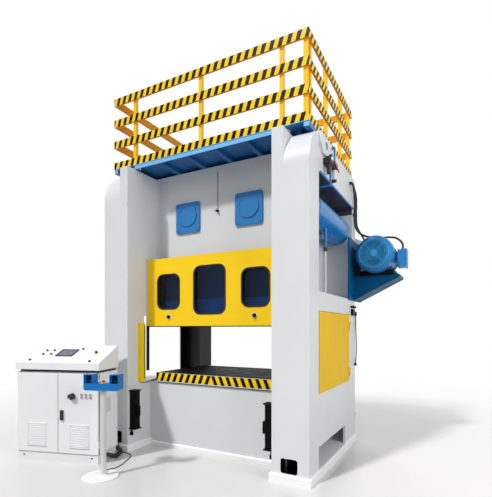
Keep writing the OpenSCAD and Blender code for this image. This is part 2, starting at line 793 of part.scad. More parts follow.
module slide() {
    sx = slide_w / 2;
    sy = slide_d / 2;
    color(navy) difference() {
        union() {
            difference() {
                block([-sx, -sy, slide_z], [sx, sy, slide_top]);
                block([-sx + slide_wall, -sy + slide_wall, slide_z + 90],
                    [sx - slide_wall, sy - slide_wall, slide_top - slide_wall]);
                translate([0, 0, slide_z]) t_slots(slide_w, 1.5 * slot_pitch);
            }
            both_sides() {
                block([sx, -rail_l / 2, slide_z], [sx + rail_out, rail_l / 2, slide_top]);
                block([gear_x - 140, -130, slide_z + 80], [gear_x + 240, 130, slide_top]);
            }
        }
        // wells for the ball feet, wide enough outward for the open pivot
        both_sides() block([gear_x - 110, -100, well_z - 12], [gear_x + 210, 100, slide_top + 1]);
    }
    // cups of the hydraulic overload units on the floor of the wells
    color("darkgoldenrod") both_sides() translate([gear_x, 0, well_z - 12]) difference() {
        cylinder(r = 90, h = 12);
        translate([0, 0, ball_r + 34]) sphere(r = ball_r + 30);
    }
}

// ---- motor and bracket ----

module motor_bracket() {
    x0 = hw;
    x1 = hw + bracket_out;
    drop = shelf_z - bracket_drop;
    color(blue) {
        block([x0, box_y + window_l - 65, drop - 8], [x0 + 20, shelf_y1, shelf_z + 520]);
        block([x0 + 20, shelf_y0, shelf_z - 20], [x1, shelf_y1, shelf_z]);
        // sloped lower plate
        sheet_y(shelf_y0, shelf_y1)
            polygon([[x0 + 20, drop], [x0 + 20, drop + 17], [x1 - 12, shelf_z - 20], [x1, shelf_z - 20],
                [x1, shelf_z - 34]]);
        for (y = [shelf_y0, shelf_y1 - bracket_t]) sheet_y(y, y + bracket_t)
            polygon([[x0 + 20, drop + 5], [x0 + 20, shelf_z - 10], [x1 - 4, shelf_z - 10],
                [x1 - 4, shelf_z - 30]]);
        for (y = [shelf_y0 - 130, shelf_y0 - 60, shelf_y0 + 60], z = [drop + 60, shelf_z + 380])
            translate([x0 + 20, y, z]) rotate([0, 90, 0]) hex_screw(18, 14);
    }
    // slide rails under the motor's feet
    color(black) for (y = [shelf_y0 + 50, shelf_y1 - 130]) difference() {
        block([x0 + 70, y, shelf_z], [x1 - 40, y + 60, shelf_z + 20]);
        block([x0 + 110, y + 22, shelf_z + 4], [x1 - 80, y + 38, shelf_z + 21]);
    }
}

// Ribbed housing with feet and end shields
module motor_body() {
    y0 = fan_y + fan_l;
    color(blue) translate([motor_x, 0, motor_z]) difference() {
        union() {
            rod_y(motor_r - 22, y0, drive_end_y - 6);
            // spigot inside the fan cover
            rod_y(motor_r + 4, y0, y0 + 10);
            rod_y(motor_r - 6, y0 + 10, y0 + 44);
            rod_y(motor_r - 6, drive_end_y - 60, drive_end_y - 20);
            rod_y(120, drive_end_y - 30, drive_end_y);
            for (a = [15:10:165]) rotate([0, a - 180, 0])
                block([motor_r - 40, y0 + 44, -3], [motor_r, drive_end_y - 60, 3]);
            for (s = [-1, 1], k = [0:4]) block([s > 0 ? motor_r - 60 : -motor_r, y0 + 44, 18 - 26 * k - 3],
                [s > 0 ? motor_r : 60 - motor_r, drive_end_y - 60, 18 - 26 * k + 3]);
            // feet
            for (s = [-1, 1]) {
                block([s > 0 ? 120 : -250, shelf_y0 + 30, 20 - motor_h],
                    [s > 0 ? 250 : -120, shelf_y1 - 60, 48 - motor_h]);
                for (y = [shelf_y0 + 40, shelf_y1 - 110])
                    block([s > 0 ? 130 : -190, y, 40 - motor_h], [s > 0 ? 190 : -130, y + 40, -120]);
            }
        }
        rod_y(motor_shaft_r + run_gap, y0 - 1, y0 + 40);
        rod_y(motor_shaft_r + run_gap, drive_end_y - 40, drive_end_y + 1);
        rod_y(150, y0 + 38, drive_end_y - 38);
    }
}

// Outline of the fan cover, o inside its outer skin
module fan_cover_profile(o) {
    k = motor_r - 245;
    polygon([[0, o], [196 + k, o], [218 + k - o, 8 + o], [236 + k - o, 26 + 0.6 * o], [248 + k - o, 52],
        [253 + k - o, 84], [253 + k - o, fan_l + (o > 0 ? 20 : 10)], [0, fan_l + (o > 0 ? 20 : 10)]]);
}

// Sheet cover with a domed shoulder and a round grille
module motor_fan_cover() {
    color(blue) translate([motor_x, fan_y, motor_z]) rotate([-90, 0, 0]) difference() {
        rotate_extrude($fn = 96) fan_cover_profile(0);
        rotate_extrude($fn = 96) fan_cover_profile(4);
        // grille: rings of slots between four spokes
        for (r = [60:18:168]) difference() {
            translate([0, 0, -1]) cylinder(r = r + 11, h = 8);
            translate([0, 0, -2]) cylinder(r = r, h = 10);
            for (a = [0, 90]) rotate([0, 0, a + 45]) translate([-220, -7, -2]) cube([440, 14, 10]);
        }
    }
}

module motor_terminal_box() {
    x0 = motor_x + motor_r;
    color(blue) {
        block([x0, 900, motor_z - 120], [x0 + 30, 1010, motor_z + 40]);
        block([x0 + 30, 862, motor_z - 176], [x0 + 132, 1048, motor_z + 62]);
        block([x0 + 132, 854, motor_z - 184], [x0 + 150, 1056, motor_z + 70]);
    }
    color(black) translate([2166, 950, motor_z + 62]) cylinder(r = 22, h = 34);
}

// ---- platform ----

module platform_deck() {
    color(blue) {
        difference() {
            block([-deck_x, -deck_front, deck_z], [deck_x, deck_rear, deck_top]);
            both_sides() for (y = [tie_front_y, tie_rear_y]) translate([tie_x, y, deck_z - 1])
                cylinder(r = 1.6 * tie_r, h = deck_t + 2);
        }
        // front fascia between the columns
        block([-in_x, -deck_front + 6, frame_h], [in_x, -deck_front + 26, deck_z]);
        // brackets from the crown's front wall to the fascia
        for (k = [-3, -1, 1, 3]) sheet_x(215 * k - 30, 215 * k + 30)
            polygon([[26 - deck_front, deck_z], [26 - deck_front, frame_h + 8], [-crown_front, frame_h + 2],
                [-crown_front, frame_h], [crown_rear, frame_h], [crown_rear, deck_z]]);
        // edge beams on the columns
        both_sides() {
            block([deck_x - 60, -deck_front + 6, frame_h], [deck_x, deck_rear, deck_z]);
            block([in_x + strip_w + 40, box_y - 10, frame_h], [in_x + strip_w + 90, rear_y, deck_z]);
        }
        block([-deck_x + 60, deck_rear - 40, frame_h], [deck_x - 60, deck_rear, deck_z]);
    }
}

module railing_posts() {
    y_in = -deck_front + rail_t;
    x_in = deck_x - rail_t;
    front_x = [-1078, 12, 1110];
    side_y = [-742, -140, 530];
    color(yellow) {
        for (x = concat(front_x, [x_in - post_w / 2]))
            block([x - post_w / 2, y_in, deck_top], [x + post_w / 2, y_in + post_w, post_top]);
        for (y = side_y) block([x_in - post_w, y - post_w / 2, deck_top], [x_in, y + post_w / 2, post_top]);
        for (x = [-x_in + post_w / 2, -540, 12, 540, x_in - post_w / 2])
            block([x - post_w / 2, deck_rear - rail_t - post_w, deck_top],
                [x + post_w / 2, deck_rear - rail_t, post_top]);
    }
}

// Toe board and three rails, each one closed ring round the platform
module hazard_rails() {
    color(yellow) for (z = rail_levels) difference() {
        block([-deck_x, -deck_front, z == deck_z ? deck_top : z], [deck_x, deck_rear, z + rail_h]);
        block([-deck_x + rail_t, -deck_front + rail_t, z - 1],
            [deck_x - rail_t, deck_rear - rail_t, z + rail_h + 1]);
    }
}

// Lifting plates on the columns' outer faces, and ring bolts low at the rear
module lifting_lugs() {
    color(steel) both_sides() {
        difference() {
            sheet_x(hw, hw + lug_t) translate([lug_y, frame_h])
                polygon([[-210, 0], [-210, -130], [-110, -210], [110, -210], [210, -130], [210, 0]]);
            translate([0, lug_y, lug_hole_z]) rod_x(lug_hole_r, hw - 1, hw + lug_t + 1);
        }
        translate([hw - 12, rear_y, 345]) {
            rotate([-90, 0, 0]) cylinder(r = 14, h = 22);
            translate([0, 58, 0]) rotate([0, 90, 0]) rotate_extrude() translate([40, 0]) circle(9, $fn = 24);
        }
    }
}

// ---- guard and light curtain ----

module guard_rails() {
    color("lightgray") both_sides() difference() {
        y0 = -guard_y - guard_t;
        z1 = guard_z + guard_h + 10;
        block([in_x - 16, y0 - 12, bolster_z + 20], [in_x, -guard_y + 6, z1]);
        block([in_x - 17, y0 - 0.4, bolster_z + 19], [in_x - 6, -guard_y + 0.4, z1 + 1]);
    }
}

module window_holes(o, y0, y1) {
    translate([0, 0, guard_mid_z]) {
        sheet_y(y0, y1) round_rect(mid_window_w + 2 * o, mid_window_h + 2 * o, window_r + o);
        for (s = [-1, 1]) translate([s * side_window_x, 0, 0])
            sheet_y(y0, y1) round_rect(side_window_w + 2 * o, side_window_h + 2 * o, window_r + o);
    }
}

module front_guard() {
    x = guard_w / 2;
    y0 = -guard_y - guard_t;
    y1 = -guard_y;
    color(yellow) difference() {
        block([-x, y0, guard_z], [x, y1, guard_z + guard_h]);
        // folded tray: open at the rear inside its rim
        difference() {
            block([-x + 40, y0 + 4, guard_z + 40], [x - 40, y1 + 1, guard_z + guard_h - 40]);
            window_holes(30, y0 + 3, y1 + 2);
            for (s = [-1, 1]) translate([s * lock_x, 0, guard_z + 124]) rod_y(34, y0 + 3, y1 + 2);
        }
        window_holes(0, y0 - 1, y1 + 1);
        for (s = [-1, 1]) translate([s * lock_x, 0, guard_z + 124]) rod_y(10 + run_gap, y0 - 1, y1 + 1);
    }
}

// Clear panes clamped behind the window frames
module guard_windows() {
    color([0.2, 0.25, 0.3, 0.5]) window_holes(18, -guard_y, -guard_y + pane_t);
}

// Quarter-turn lock: round collar, key bow and a shaft through the guard with a cam behind it
module guard_lock(s) {
    color(black) translate([s * lock_x, 0, guard_z + 124]) {
        rod_y(10, -guard_y - guard_t - 6, -guard_y + 12);
        rod_y(26, -guard_y - guard_t - 16, -guard_y - guard_t - 0.3);
        block([-5, -guard_y - guard_t - 42, -20], [5, -guard_y - guard_t - 16, 20]);
        block([-9, -guard_y + 0.5, -60], [9, -guard_y + 6, 9]);
    }
}

module guard_lock_left() { guard_lock(-1); }
module guard_lock_right() { guard_lock(1); }

module light_curtains() {
    z0 = window_z;
    z1 = guard_z + 40;
    both_sides() {
        color(yellow) difference() {
            block([in_x - 40, -826, z0], [in_x, -718, z1]);
            block([in_x - 41, -734, z0 + 30], [in_x - 28, -722, z1 - 30]);
        }
        color(black) {
            block([in_x - 36, -734, z0 + 30], [in_x - 28, -722, z1 - 30]);
            translate([in_x - 20, -770, z0 - 22]) cylinder(r = 9, h = 22);
        }
    }
}

// Flanged posts on the columns that carry die-change arms
module die_arm_brackets() {
    z0 = 300;
    z1 = 822;
    color(black) both_sides() {
        block([in_x - 100, -980, z0 + 14], [in_x, -892, z1 - 14]);
        for (z = [z0, z1 - 14]) block([in_x - 116, -996, z], [in_x, -878, z + 14]);
        block([in_x - 136, -965, 478], [in_x - 100, -918, 614]);
        translate([in_x - 26, -966, z0 - 45]) cylinder(r = 12, h = 45);
        translate([in_x - 26, -966, z0 - 85]) cylinder(r = 22, h = 40);
    }
}

// ---- side equipment ----

// Half outline of a tank of length l whose ends are dished by d
module tank_profile(r, l, d) {
    polygon(concat([[0, 0]], [for (a = [10:10:90]) [r * sin(a), d - d * cos(a)]],
        [for (a = [90:-10:10]) [r * sin(a), l - d + d * cos(a)]], [[0, l]]));
}

// Welded air tank with dished ends, saddles and a drain cock below
module air_tank() {
    y0 = box_y + 45;
    y1 = rbox_y - 25;
    color(blue) {
        translate([tank_x, y1, tank_z]) rotate([90, 0, 0]) rotate_extrude() difference() {
            tank_profile(tank_r, y1 - y0, 60);
            translate([0, 8]) tank_profile(tank_r - 8, y1 - y0 - 16, 56);
        }
        for (y = [y0 + 180, y1 - 260])
            block([in_x + plate, y, tank_z - 60], [tank_x - tank_r + 22, y + 60, tank_z + 60]);
        translate([tank_x, y0 + 420, tank_z - tank_r - 40]) cylinder(r = 16, h = 60);
        // boss under the outlet pipe
        translate([tank_x, frl_y - 20, tank_z + tank_r - 6]) cylinder(r = 22, h = 16);
    }
    color(black) {
        translate([tank_x, y0 + 420, tank_z - tank_r - 100]) cylinder(r = 26, h = 60);
        block([tank_x - 60, y0 + 520, tank_z - tank_r - 70], [tank_x + 20, y0 + 600, tank_z - tank_r + 12]);
    }
}

// Regulator, outlet block with its knob, shut-off valve and filter with its bowl, and a pressure switch
module frl_unit() {
    x0 = hw + lug_t + 2;
    color(black) {
        block([hw, frl_y - 110, frl_z - 20], [x0, frl_y + 176, frl_z + 30]);
        block([x0, frl_y - 120, frl_z - 35], [x0 + 60, frl_y - 52, frl_z + 45]);
        block([x0, frl_y - 46, frl_z - 35], [x0 + 60, frl_y + 14, frl_z + 45]);
        block([x0, frl_y + 20, frl_z - 25], [x0 + 60, frl_y + 98, frl_z + 45]);
        block([x0, frl_y + 104, frl_z - 25], [x0 + 60, frl_y + 182, frl_z + 45]);
        translate([x0 + 30, frl_y - 86, frl_z - 145]) cylinder(r = 24, h = 110);
        translate([x0 + 30, frl_y + 143, frl_z - 165]) cylinder(r = 26, h = 140);
        translate([x0 + 30, frl_y - 6, frl_z + 45]) cylinder(r = 20, h = 56);
        translate([0, frl_y + 206, frl_z - 130]) rod_x(24, hw, hw + 30);
    }
}

// Red lever of the shut-off valve
module air_valve_lever() {
    color("red") translate([hw + lug_t + 62.3, frl_y + 59, frl_z + 10]) {
        rod_x(20, 0, 14);
        rotate([-17, 0, 0]) block([2, -30, -11], [12, 150, 11]);
    }
}

// Blue air pipes: supply from above, drop to the tank and the line along the recess's upper edge
module air_pipes() {
    x = hw + lug_t + 32;
    y_in = frl_y + 143;
    y_out = frl_y - 20;
    bend_z = tank_z + tank_r + 60;
    recess_top = recess_z + recess_h;
    color(blue) {
        translate([x, y_in, frl_z + 45]) cylinder(r = pipe_r, h = frame_h - 35 - frl_z - 45);
        translate([0, y_in, frame_h - 35]) rod_x(pipe_r, hw + lug_t, x);
        translate([x, y_in, frame_h - 35]) sphere(r = pipe_r);
        translate([x, y_out, bend_z]) cylinder(r = pipe_r, h = frl_z - 35 - bend_z);
        translate([x, y_out, bend_z]) sphere(r = pipe_r);
        translate([0, y_out, bend_z]) rod_x(pipe_r, tank_x, x);
        translate([tank_x, y_out, bend_z]) sphere(r = pipe_r);
        translate([tank_x, y_out, tank_z + tank_r + 10]) cylinder(r = pipe_r, h = 50);
        translate([hw + pipe_r + 1, 0, recess_top + 2]) rod_y(pipe_r, box_y + 4, rbox_y);
        for (y = [box_y + 60, 200, rbox_y - 60])
            block([hw, y, recess_top - 6], [hw + 12, y + 24, recess_top + 14]);
    }
}

// Sheet door over the right column's window, hinged along its rear edge
module side_door() {
    y0 = box_y + door_gap;
    y1 = window_y1 - door_gap;
    z0 = window_z + door_gap;
    z1 = window_z + window_h - door_gap;
    x1 = hw + 6;
    color(yellow) difference() {
        union() {
            block([x1 - door_t, y0, z0], [x1, y1, z1]);
            for (z = [z0 + 100, z1 - 180]) translate([x1 + 9, y1, z]) {
                cylinder(r = 9, h = 80);
                block([-9, -60, 0], [-3, 0, 80]);
            }
        }
        block([x1 - door_t - 1, y0 + 25, z0 + 25], [x1 - 3, y1 - 25, z1 - 25]);
        for (z = [z0 + 100, z1 - 180]) translate([x1 + 9, y1, z - 1]) cylinder(r = 5 + run_gap, h = 82);
    }
}

// Pins and plates of the two hinges, screwed to the column
module side_door_hinges() {
    y1 = window_y1 - door_gap;
    z0 = window_z + door_gap;
    z1 = window_z + window_h - door_gap;
    color("silver") for (z = [z0 + 100, z1 - 180]) translate([hw + 15, y1, z]) {
        translate([0, 0, -40]) cylinder(r = 5, h = 118);
        translate([0, 0, -42]) cylinder(r = 9, h = 41.7);
        block([-15, 4, -42], [-7, 60, -0.3]);
        block([-12, 0, -42], [-3, 12, -0.3]);
    }
}

// Gear-room sensor on the crown's front, and plugs and glands on the right column
module electric_fittings() {
    color(black) {
        translate([6, 0, sensor_z]) {
            rod_y(18, -crown_front - 40, -crown_front);
            translate([0, -crown_front - 7, 0]) cylinder(r = 5, h = frame_h - sensor_z - 70);
        }
        translate([0, 700, frame_h - 123]) rod_x(24, hw, hw + 12);
        block([hw, 770, 1842], [hw + 36, 880, 1930]);
        block([hw, 960, 1838], [hw + 30, 1018, 1900]);
        for (y = [770, 900]) translate([0, y, 1962]) rod_x(16, hw, hw + 44);
        block([hw, 973, 1104], [hw + 32, 1007, 1138]);
        block([hw, 884, 3290], [hw + 9, 916, 3330]);
        // socket block for the desk and the stand, on the left foot slab inside the column
        block([-1300, -975, foot_t], [-1170, -935, foot_t + 80]);
    }
}

module motor_conduit() { color(black) cable(conduit_route, conduit_r, 1, 10); }
module rear_hose() { color(black) cable(hose_route, hose_r, 2); }

// ---- control desk ----

module at_desk() {
    translate([desk_x, desk_y, 0]) rotate(desk_turn) children();
}

// Lies on the desk's slope: x along the desk, y up the slope, z out of it
module on_slope(x, y) {
    at_desk() translate([x, y, lip_h + y * tan(slope)]) rotate([slope, 0, 0]) children();
}

module desk_cabinet() {
    w = desk_sheet;
    color("whitesmoke") at_desk() difference() {
        union() {
            block([18, 12, 0], [desk_w - 18, desk_d - 12, plinth_h]);
            difference() {
                block([0, 22, plinth_h], [desk_w, desk_d, cabinet_h]);
                block([w, 21, plinth_h + w], [desk_w - w, desk_d - w, cabinet_h - w]);
                block([16, 18, plinth_h + 16], [desk_w - 16, 30, cabinet_h - 16]);
            }
            block([12 + left_door_w - 14, 26, plinth_h], [12 + left_door_w + 14, 60, cabinet_h]);
            for (x = [100, desk_w - 96]) translate([x, 0, 70]) rod_y(9, 6, 14);
            // gland of the cable loom, low in the right side
            translate([0, 152, 82]) rod_x(loom_r + 3, desk_w - 30, desk_w);
            for (x = [door_pin, desk_w - door_pin], z = door_hinge_z) translate([x, door_pin, z]) {
                translate([0, 0, -35]) cylinder(r = 2.5, h = 70);
                for (k = [-35, 20.3]) {
                    translate([0, 0, k]) cylinder(r = 5, h = 14.7);
                    block([-5, 0, k], [5, 20, k + 14.7]);
                }
            }
        }
        block([40, 30, -1], [desk_w - 40, desk_d - 30, plinth_h - 4]);
    }
}

// Sloped console on a recessed neck, with the push buttons and selectors on its face
module desk_top() {
    color("whitesmoke") at_desk() difference() {
        union() {
            block([20, 40, cabinet_h], [desk_w - 20, desk_d - 10, console_z + 2]);
            sheet_x(-8, desk_w + 8)
                polygon([[-14, console_z], [desk_d + 4, console_z], [desk_d + 4, desk_h],
                    [desk_d - 8, desk_h],
                    [0, lip_h], [-14, lip_h - 8]]);
        }
        block([30, 50, cabinet_h - 1], [desk_w - 30, desk_d - 20, console_z - 4]);
        // bore for the stem of the emergency stop
        translate([964, 231, lip_h + 231 * tan(slope)]) rotate([slope, 0, 0]) translate([0, 0, -20])
            cylinder(r = stem_r + run_gap, h = 30);
    }
    buttons = [[155, 40], [236, 183], [222, 277], [351, 186], [332, 280], [717, 327], [997, 30]];
    for (b = buttons) on_slope(b[0], b[1]) color("black") {
        cylinder(r = 15, h = 5);
        cylinder(r = 11, h = 14);
    }
}

module touch_screen() {
    color([0.3, 0.33, 0.42]) on_slope(555, 224) translate([-screen_w / 2, -screen_d / 2, 0.2]) difference() {
        cube([screen_w, screen_d, 9]);
        translate([16, 16, 6]) cube([screen_w - 32, screen_d - 32, 4]);
    }
}

// Mushroom button that is pushed down to stop
module mushroom(r) {
    rotate_extrude()
        polygon([[0, -9], [stem_r, -9], [stem_r, 8], [r - 6, 12], [r, 17], [r - 3, 24], [r / 2, 29],
            [0, 30]]);
}

module desk_estop() {
    on_slope(964, 231) color("red") translate([0, 0, 2]) mushroom(20);
}

// Door leaf from x0 to x1, hinged at pin_x, with louvres from cut
module desk_door(x0, x1, pin_x, cut) {
    z0 = plinth_h + 4;
    z1 = cabinet_h - 8;
    color("whitesmoke") at_desk() difference() {
        union() {
            block([x0, 0, z0], [x1, 21.6, z1]);
            for (z = door_hinge_z) translate([pin_x, door_pin, z - 20]) {
                cylinder(r = 5, h = 40);
                block([pin_x < x0 ? 0 : -8, -5, 0], [pin_x < x0 ? 8 : 0, 3, 40]);
            }
        }
        block([x0 + 12, 3, z0 + 12], [x1 - 12, 22, z1 - 12]);
        for (z = door_hinge_z) translate([pin_x, door_pin, z - 21]) cylinder(r = 2.5 + run_gap, h = 42);
        // louvres near the foot of the door
        for (k = [0:6]) block([x0 + cut, -1, 222 + 38 * k], [x0 + cut + 210, 4, 230 + 38 * k]);
    }
}

module desk_door_left() { desk_door(12, 12 + left_door_w, door_pin, 145); }

module desk_door_right() {
    x0 = 12 + left_door_w + 3;
    difference() {
        desk_door(x0, desk_w - 12, desk_w - door_pin, 170);
        at_desk() for (p = [[642, 584], [786, 820]]) translate([p[0], 0, p[1]]) rod_y(9 + run_gap, -1, 4);
    }
    // six sockets beside the main switch
    color("lightgray") at_desk() for (i = [0:2], k = [0:1])
        translate([desk_w - 230 + 60 * i, 0, 810 + 34 * k]) rod_y(11, -8, 0);
}

module desk_door_handle() {
    color(black) at_desk() translate([642, 0, 584]) {
        block([-17, -22, -61], [17, -0.3, 61]);
        rod_y(9, -4, 14);
        block([-30, 6, -9], [9, 11, 9]);
    }
}

module main_switch() {
    color(black) at_desk() translate([786, 0, 820]) {
        rod_y(38, -12, -0.3);
        block([-13, -44, -36], [13, -12, 36]);
        rod_y(9, -4, 14);
    }
}

module desk_loom() { color(black) cable(loom_route, loom_r, 1, 12); }

// ---- two-hand stand ----

module at_stand() {
    translate([stand_x, stand_y, 0]) rotate(stand_turn) children();
}

module stand_post() {
    color("white") at_stand() {
        translate([-34, -4, 0]) {
            cylinder(r = disc_r, h = disc_t - 4);
            translate([0, 0, disc_t - 4]) cylinder(r1 = disc_r, r2 = disc_r - 5, h = 4);
        }
        translate([0, 0, disc_t]) cylinder(r = post_r + 25, h = 8);
        // gland of the stand's cable
        translate([0, 0, 60]) rotate([0, 0, 113.5]) rod_x(9, post_r - 5, 45);
        cylinder(r = post_r, h = box_z - 6);
        block([-60, -45, box_z - 6], [60, 45, box_z]);
    }
}

module stand_box() {
    z1 = box_z + box_h;
    color(blue) at_stand() difference() {
        union() {
            sheet_y(-box_d / 2, box_d / 2) translate([0, box_z]) tray_outline(0);
            for (s = [-1, 1]) translate([s * (box_w / 2 - 52), 0, 0]) difference() {
                block([-52, -box_d / 2, z1], [52, box_d / 2, z1 + shroud_h]);
                block([-46, -box_d / 2 - 1, z1 - 1], [46, box_d / 2 - 6, z1 + shroud_h - 6]);
            }
        }
        sheet_y(-box_d / 2 + 4, box_d / 2 - 4) translate([0, box_z]) tray_outline(4);
        for (s = [-1, 1]) translate([s * (box_w / 2 - 52), 0, z1 - 5]) cylinder(r = stem_r + run_gap, h = 6);
        translate([0, 0, z1 - 5]) cylinder(r = stem_r + run_gap, h = 6);
    }
}

// Outline of the box, o inside its skin, with its lower corners rounded
module tray_outline(o) {
    w = box_w / 2 - o;
    r = 26 - o;
    polygon(concat([[-w, box_h - o]], [for (a = [180:15:270]) [-w + r + r * cos(a), o + r + r * sin(a)]],
        [for (a = [270:15:360]) [w - r + r * cos(a), o + r + r * sin(a)]], [[w, box_h - o]]));
}

module palm_button(s) {
    color(black) at_stand() translate([s * (box_w / 2 - 52), 0, box_z + box_h + 2]) mushroom(30);
}

module palm_button_left() { palm_button(-1); }
module palm_button_right() { palm_button(1); }

module stand_estop() {
    color("red") at_stand() translate([0, 0, box_z + box_h + 2]) mushroom(20);
}

module stand_cable() { color(black) cable(stand_cable_route, stand_cable_r, 2); }

bed();
column_left();
column_right();
crown();
tie_rods();
bolster();
slide_gibs();
gear_covers();
gear_pins();
pinion_bearings();
motor_bracket();
motor_body();
motor_fan_cover();
motor_terminal_box();
v_belts();
belt_guard();
platform_deck();
railing_posts();
hazard_rails();
lifting_lugs();
light_curtains();
die_arm_brackets();
air_tank();
frl_unit();
air_pipes();
motor_conduit();
rear_hose();
electric_fittings();
slide();
conrod_left();
conrod_right();
eccentric_gear_left();
eccentric_gear_right();
pinion_shaft();
flywheel();
motor_rotor();
motor_pulley();
front_guard();
guard_windows();
guard_lock_left();
guard_lock_right();
guard_rails();
side_door();
side_door_hinges();
air_valve_lever();
desk_cabinet();
desk_top();
desk_door_left();
desk_door_right();
desk_door_handle();
main_switch();
touch_screen();
desk_estop();
stand_post();
stand_box();
palm_button_left();
palm_button_right();
stand_estop();
stand_cable();
desk_loom();
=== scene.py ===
import math

import bpy
from mathutils import Matrix, Vector


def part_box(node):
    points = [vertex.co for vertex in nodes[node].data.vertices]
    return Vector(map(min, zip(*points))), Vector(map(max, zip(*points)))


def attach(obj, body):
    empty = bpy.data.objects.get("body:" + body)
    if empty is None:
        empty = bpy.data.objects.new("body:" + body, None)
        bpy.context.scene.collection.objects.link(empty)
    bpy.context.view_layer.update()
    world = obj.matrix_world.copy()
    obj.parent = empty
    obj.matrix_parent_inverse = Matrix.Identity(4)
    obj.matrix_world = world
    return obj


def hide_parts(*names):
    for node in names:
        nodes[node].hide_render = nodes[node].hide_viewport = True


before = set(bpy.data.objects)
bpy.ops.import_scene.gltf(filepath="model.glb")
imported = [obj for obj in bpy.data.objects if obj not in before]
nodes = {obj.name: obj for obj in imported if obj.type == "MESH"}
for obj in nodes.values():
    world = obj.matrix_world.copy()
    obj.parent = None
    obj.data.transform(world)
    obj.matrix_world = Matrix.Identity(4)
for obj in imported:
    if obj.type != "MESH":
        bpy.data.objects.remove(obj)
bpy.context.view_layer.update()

camera = {
    "place": (2.858, -4.949, 1.65),
    "turn": (90.0, 0.0, 28.27),  # degrees
    "lens": 28.706,
    "rise": 0.1612,  # lens shift that keeps the uprights parallel
}
cameraData = bpy.data.cameras.new("camera")
cameraData.lens = camera["lens"]
cameraData.sensor_width = 36.0
cameraData.shift_y = camera["rise"]
cameraObject = bpy.data.objects.new("camera", cameraData)
bpy.context.scene.collection.objects.link(cameraObject)
cameraObject.location = camera["place"]
cameraObject.rotation_euler = [math.radians(v) for v in camera["turn"]]
bpy.context.scene.camera = cameraObject
print("camera set")


def tone(red, green, blue):  # display colour, 0 to 255, as shader values
    def linear(v):
        v = v / 255
        return v / 12.92 if v <= 0.04045 else ((v + 0.055) / 1.055) ** 2.4
    return (linear(red), linear(green), linear(blue), 1.0)


tolerance = {
    "merge": 0.00002,  # points nearer to each other than this become one
    "front": 0.0001,  # how near to the front plane an edge has to lie to be picked
}


def clearSelection():
    if bpy.context.object is not None and bpy.context.object.mode != "OBJECT":
        bpy.ops.object.mode_set(mode="OBJECT")
    bpy.ops.object.select_all(action="DESELECT")


def selectOnly(obj):
    clearSelection()
    obj.select_set(True)
    bpy.context.view_layer.objects.active = obj


def pick(obj, kind, test):  # edit mode, with what passes the test selected
    selectOnly(obj)
    bpy.ops.object.mode_set(mode="EDIT")
    bpy.ops.mesh.select_mode(type=kind)
    bpy.ops.mesh.select_all(action="DESELECT")
    bpy.ops.object.mode_set(mode="OBJECT")
    mesh = obj.data
    spots = [v.co.copy() for v in mesh.vertices]
    if kind == "FACE":
        for face in mesh.polygons:
            face.select = test(face.center, face.normal)
    elif kind == "EDGE":
        for edge in mesh.edges:
            edge.select = test(spots[edge.vertices[0]], spots[edge.vertices[1]])
    else:
        for vertex in mesh.vertices:
            vertex.select = test(vertex.co)
    bpy.ops.object.mode_set(mode="EDIT")


def setDown():
    bpy.ops.object.mode_set(mode="OBJECT")


def everything(a, b=None):  # the test that all faces, edges and points pass
    return True


def bakePlace(obj):  # the object goes back to the origin, its place into its mesh
    selectOnly(obj)
    bpy.ops.object.transform_apply(location=True, rotation=True, scale=True)


def outward(obj):
    pick(obj, "FACE", everything)
    bpy.ops.mesh.remove_doubles(threshold=tolerance["merge"])
    bpy.ops.mesh.normals_make_consistent(inside=False)
    setDown()


def join(parts, name):
    clearSelection()
    for part in parts:
        part.select_set(True)
    bpy.context.view_layer.objects.active = parts[0]
    if len(parts) > 1:
        bpy.ops.object.join()
    parts[0].name = name
    parts[0].data.name = name
    return parts[0]


# finishes a piece and hangs it on its body
def settle(parts, name, body, material, place=None, sharp=35.0):
    obj = join(parts, name)
    bakePlace(obj)
    if place is not None:
        obj.data.transform(place)
    outward(obj)
    obj.data.materials.clear()
    obj.data.materials.append(material)
    selectOnly(obj)
    bpy.ops.object.shade_smooth_by_angle(angle=math.radians(sharp))
    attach(obj, body)
    return obj


def blockAt(low, high, edge=0.002, steps=2):  # a block with its edges broken
    clearSelection()
    middle = [(a + b) / 2 for a, b in zip(low, high)]
    bpy.ops.mesh.primitive_cube_add(size=1, location=middle)
    obj = bpy.context.object
    obj.scale = [b - a for a, b in zip(low, high)]
    bakePlace(obj)
    pick(obj, "EDGE", everything)
    bpy.ops.mesh.bevel(offset=edge, segments=steps, affect="EDGES")
    setDown()
    return obj


quarter = math.pi / 2
axisTurn = {"X": (0, quarter, 0), "Y": (quarter, 0, 0), "Z": (0, 0, 0)}  # turns a shape from Z to the named axis


def bothSides(xs, ys, zs, edge=0.001):  # one block at the left and its twin at the right
    blocks = []
    for side in (-1, 1):
        left, right = sorted(side * x for x in xs)
        blocks.append(blockAt((left, ys[0], zs[0]), (right, ys[1], zs[1]), edge))
    return blocks


def discAt(centre, radius, depth, axis="Z", edge=0.002, sides=32, steps=2):  # a turned disc with a broken rim
    clearSelection()
    bpy.ops.mesh.primitive_cylinder_add(vertices=sides, radius=radius, depth=depth, location=centre,
                                        rotation=axisTurn[axis])
    obj = bpy.context.object
    bakePlace(obj)
    line = {"X": 0, "Y": 1, "Z": 2}[axis]
    pick(obj, "EDGE", lambda a, b: abs(a[line] - b[line]) < depth / 4)
    bpy.ops.mesh.bevel(offset=edge, segments=steps, affect="EDGES")
    setDown()
    return obj


def torusAt(centre, radius, wire, rounds, sides, axis="Y"):  # a ring of round wire
    clearSelection()
    bpy.ops.mesh.primitive_torus_add(major_radius=radius, minor_radius=wire, major_segments=rounds,
                                     minor_segments=sides, location=centre, rotation=axisTurn[axis])
    obj = bpy.context.object
    bakePlace(obj)
    return obj


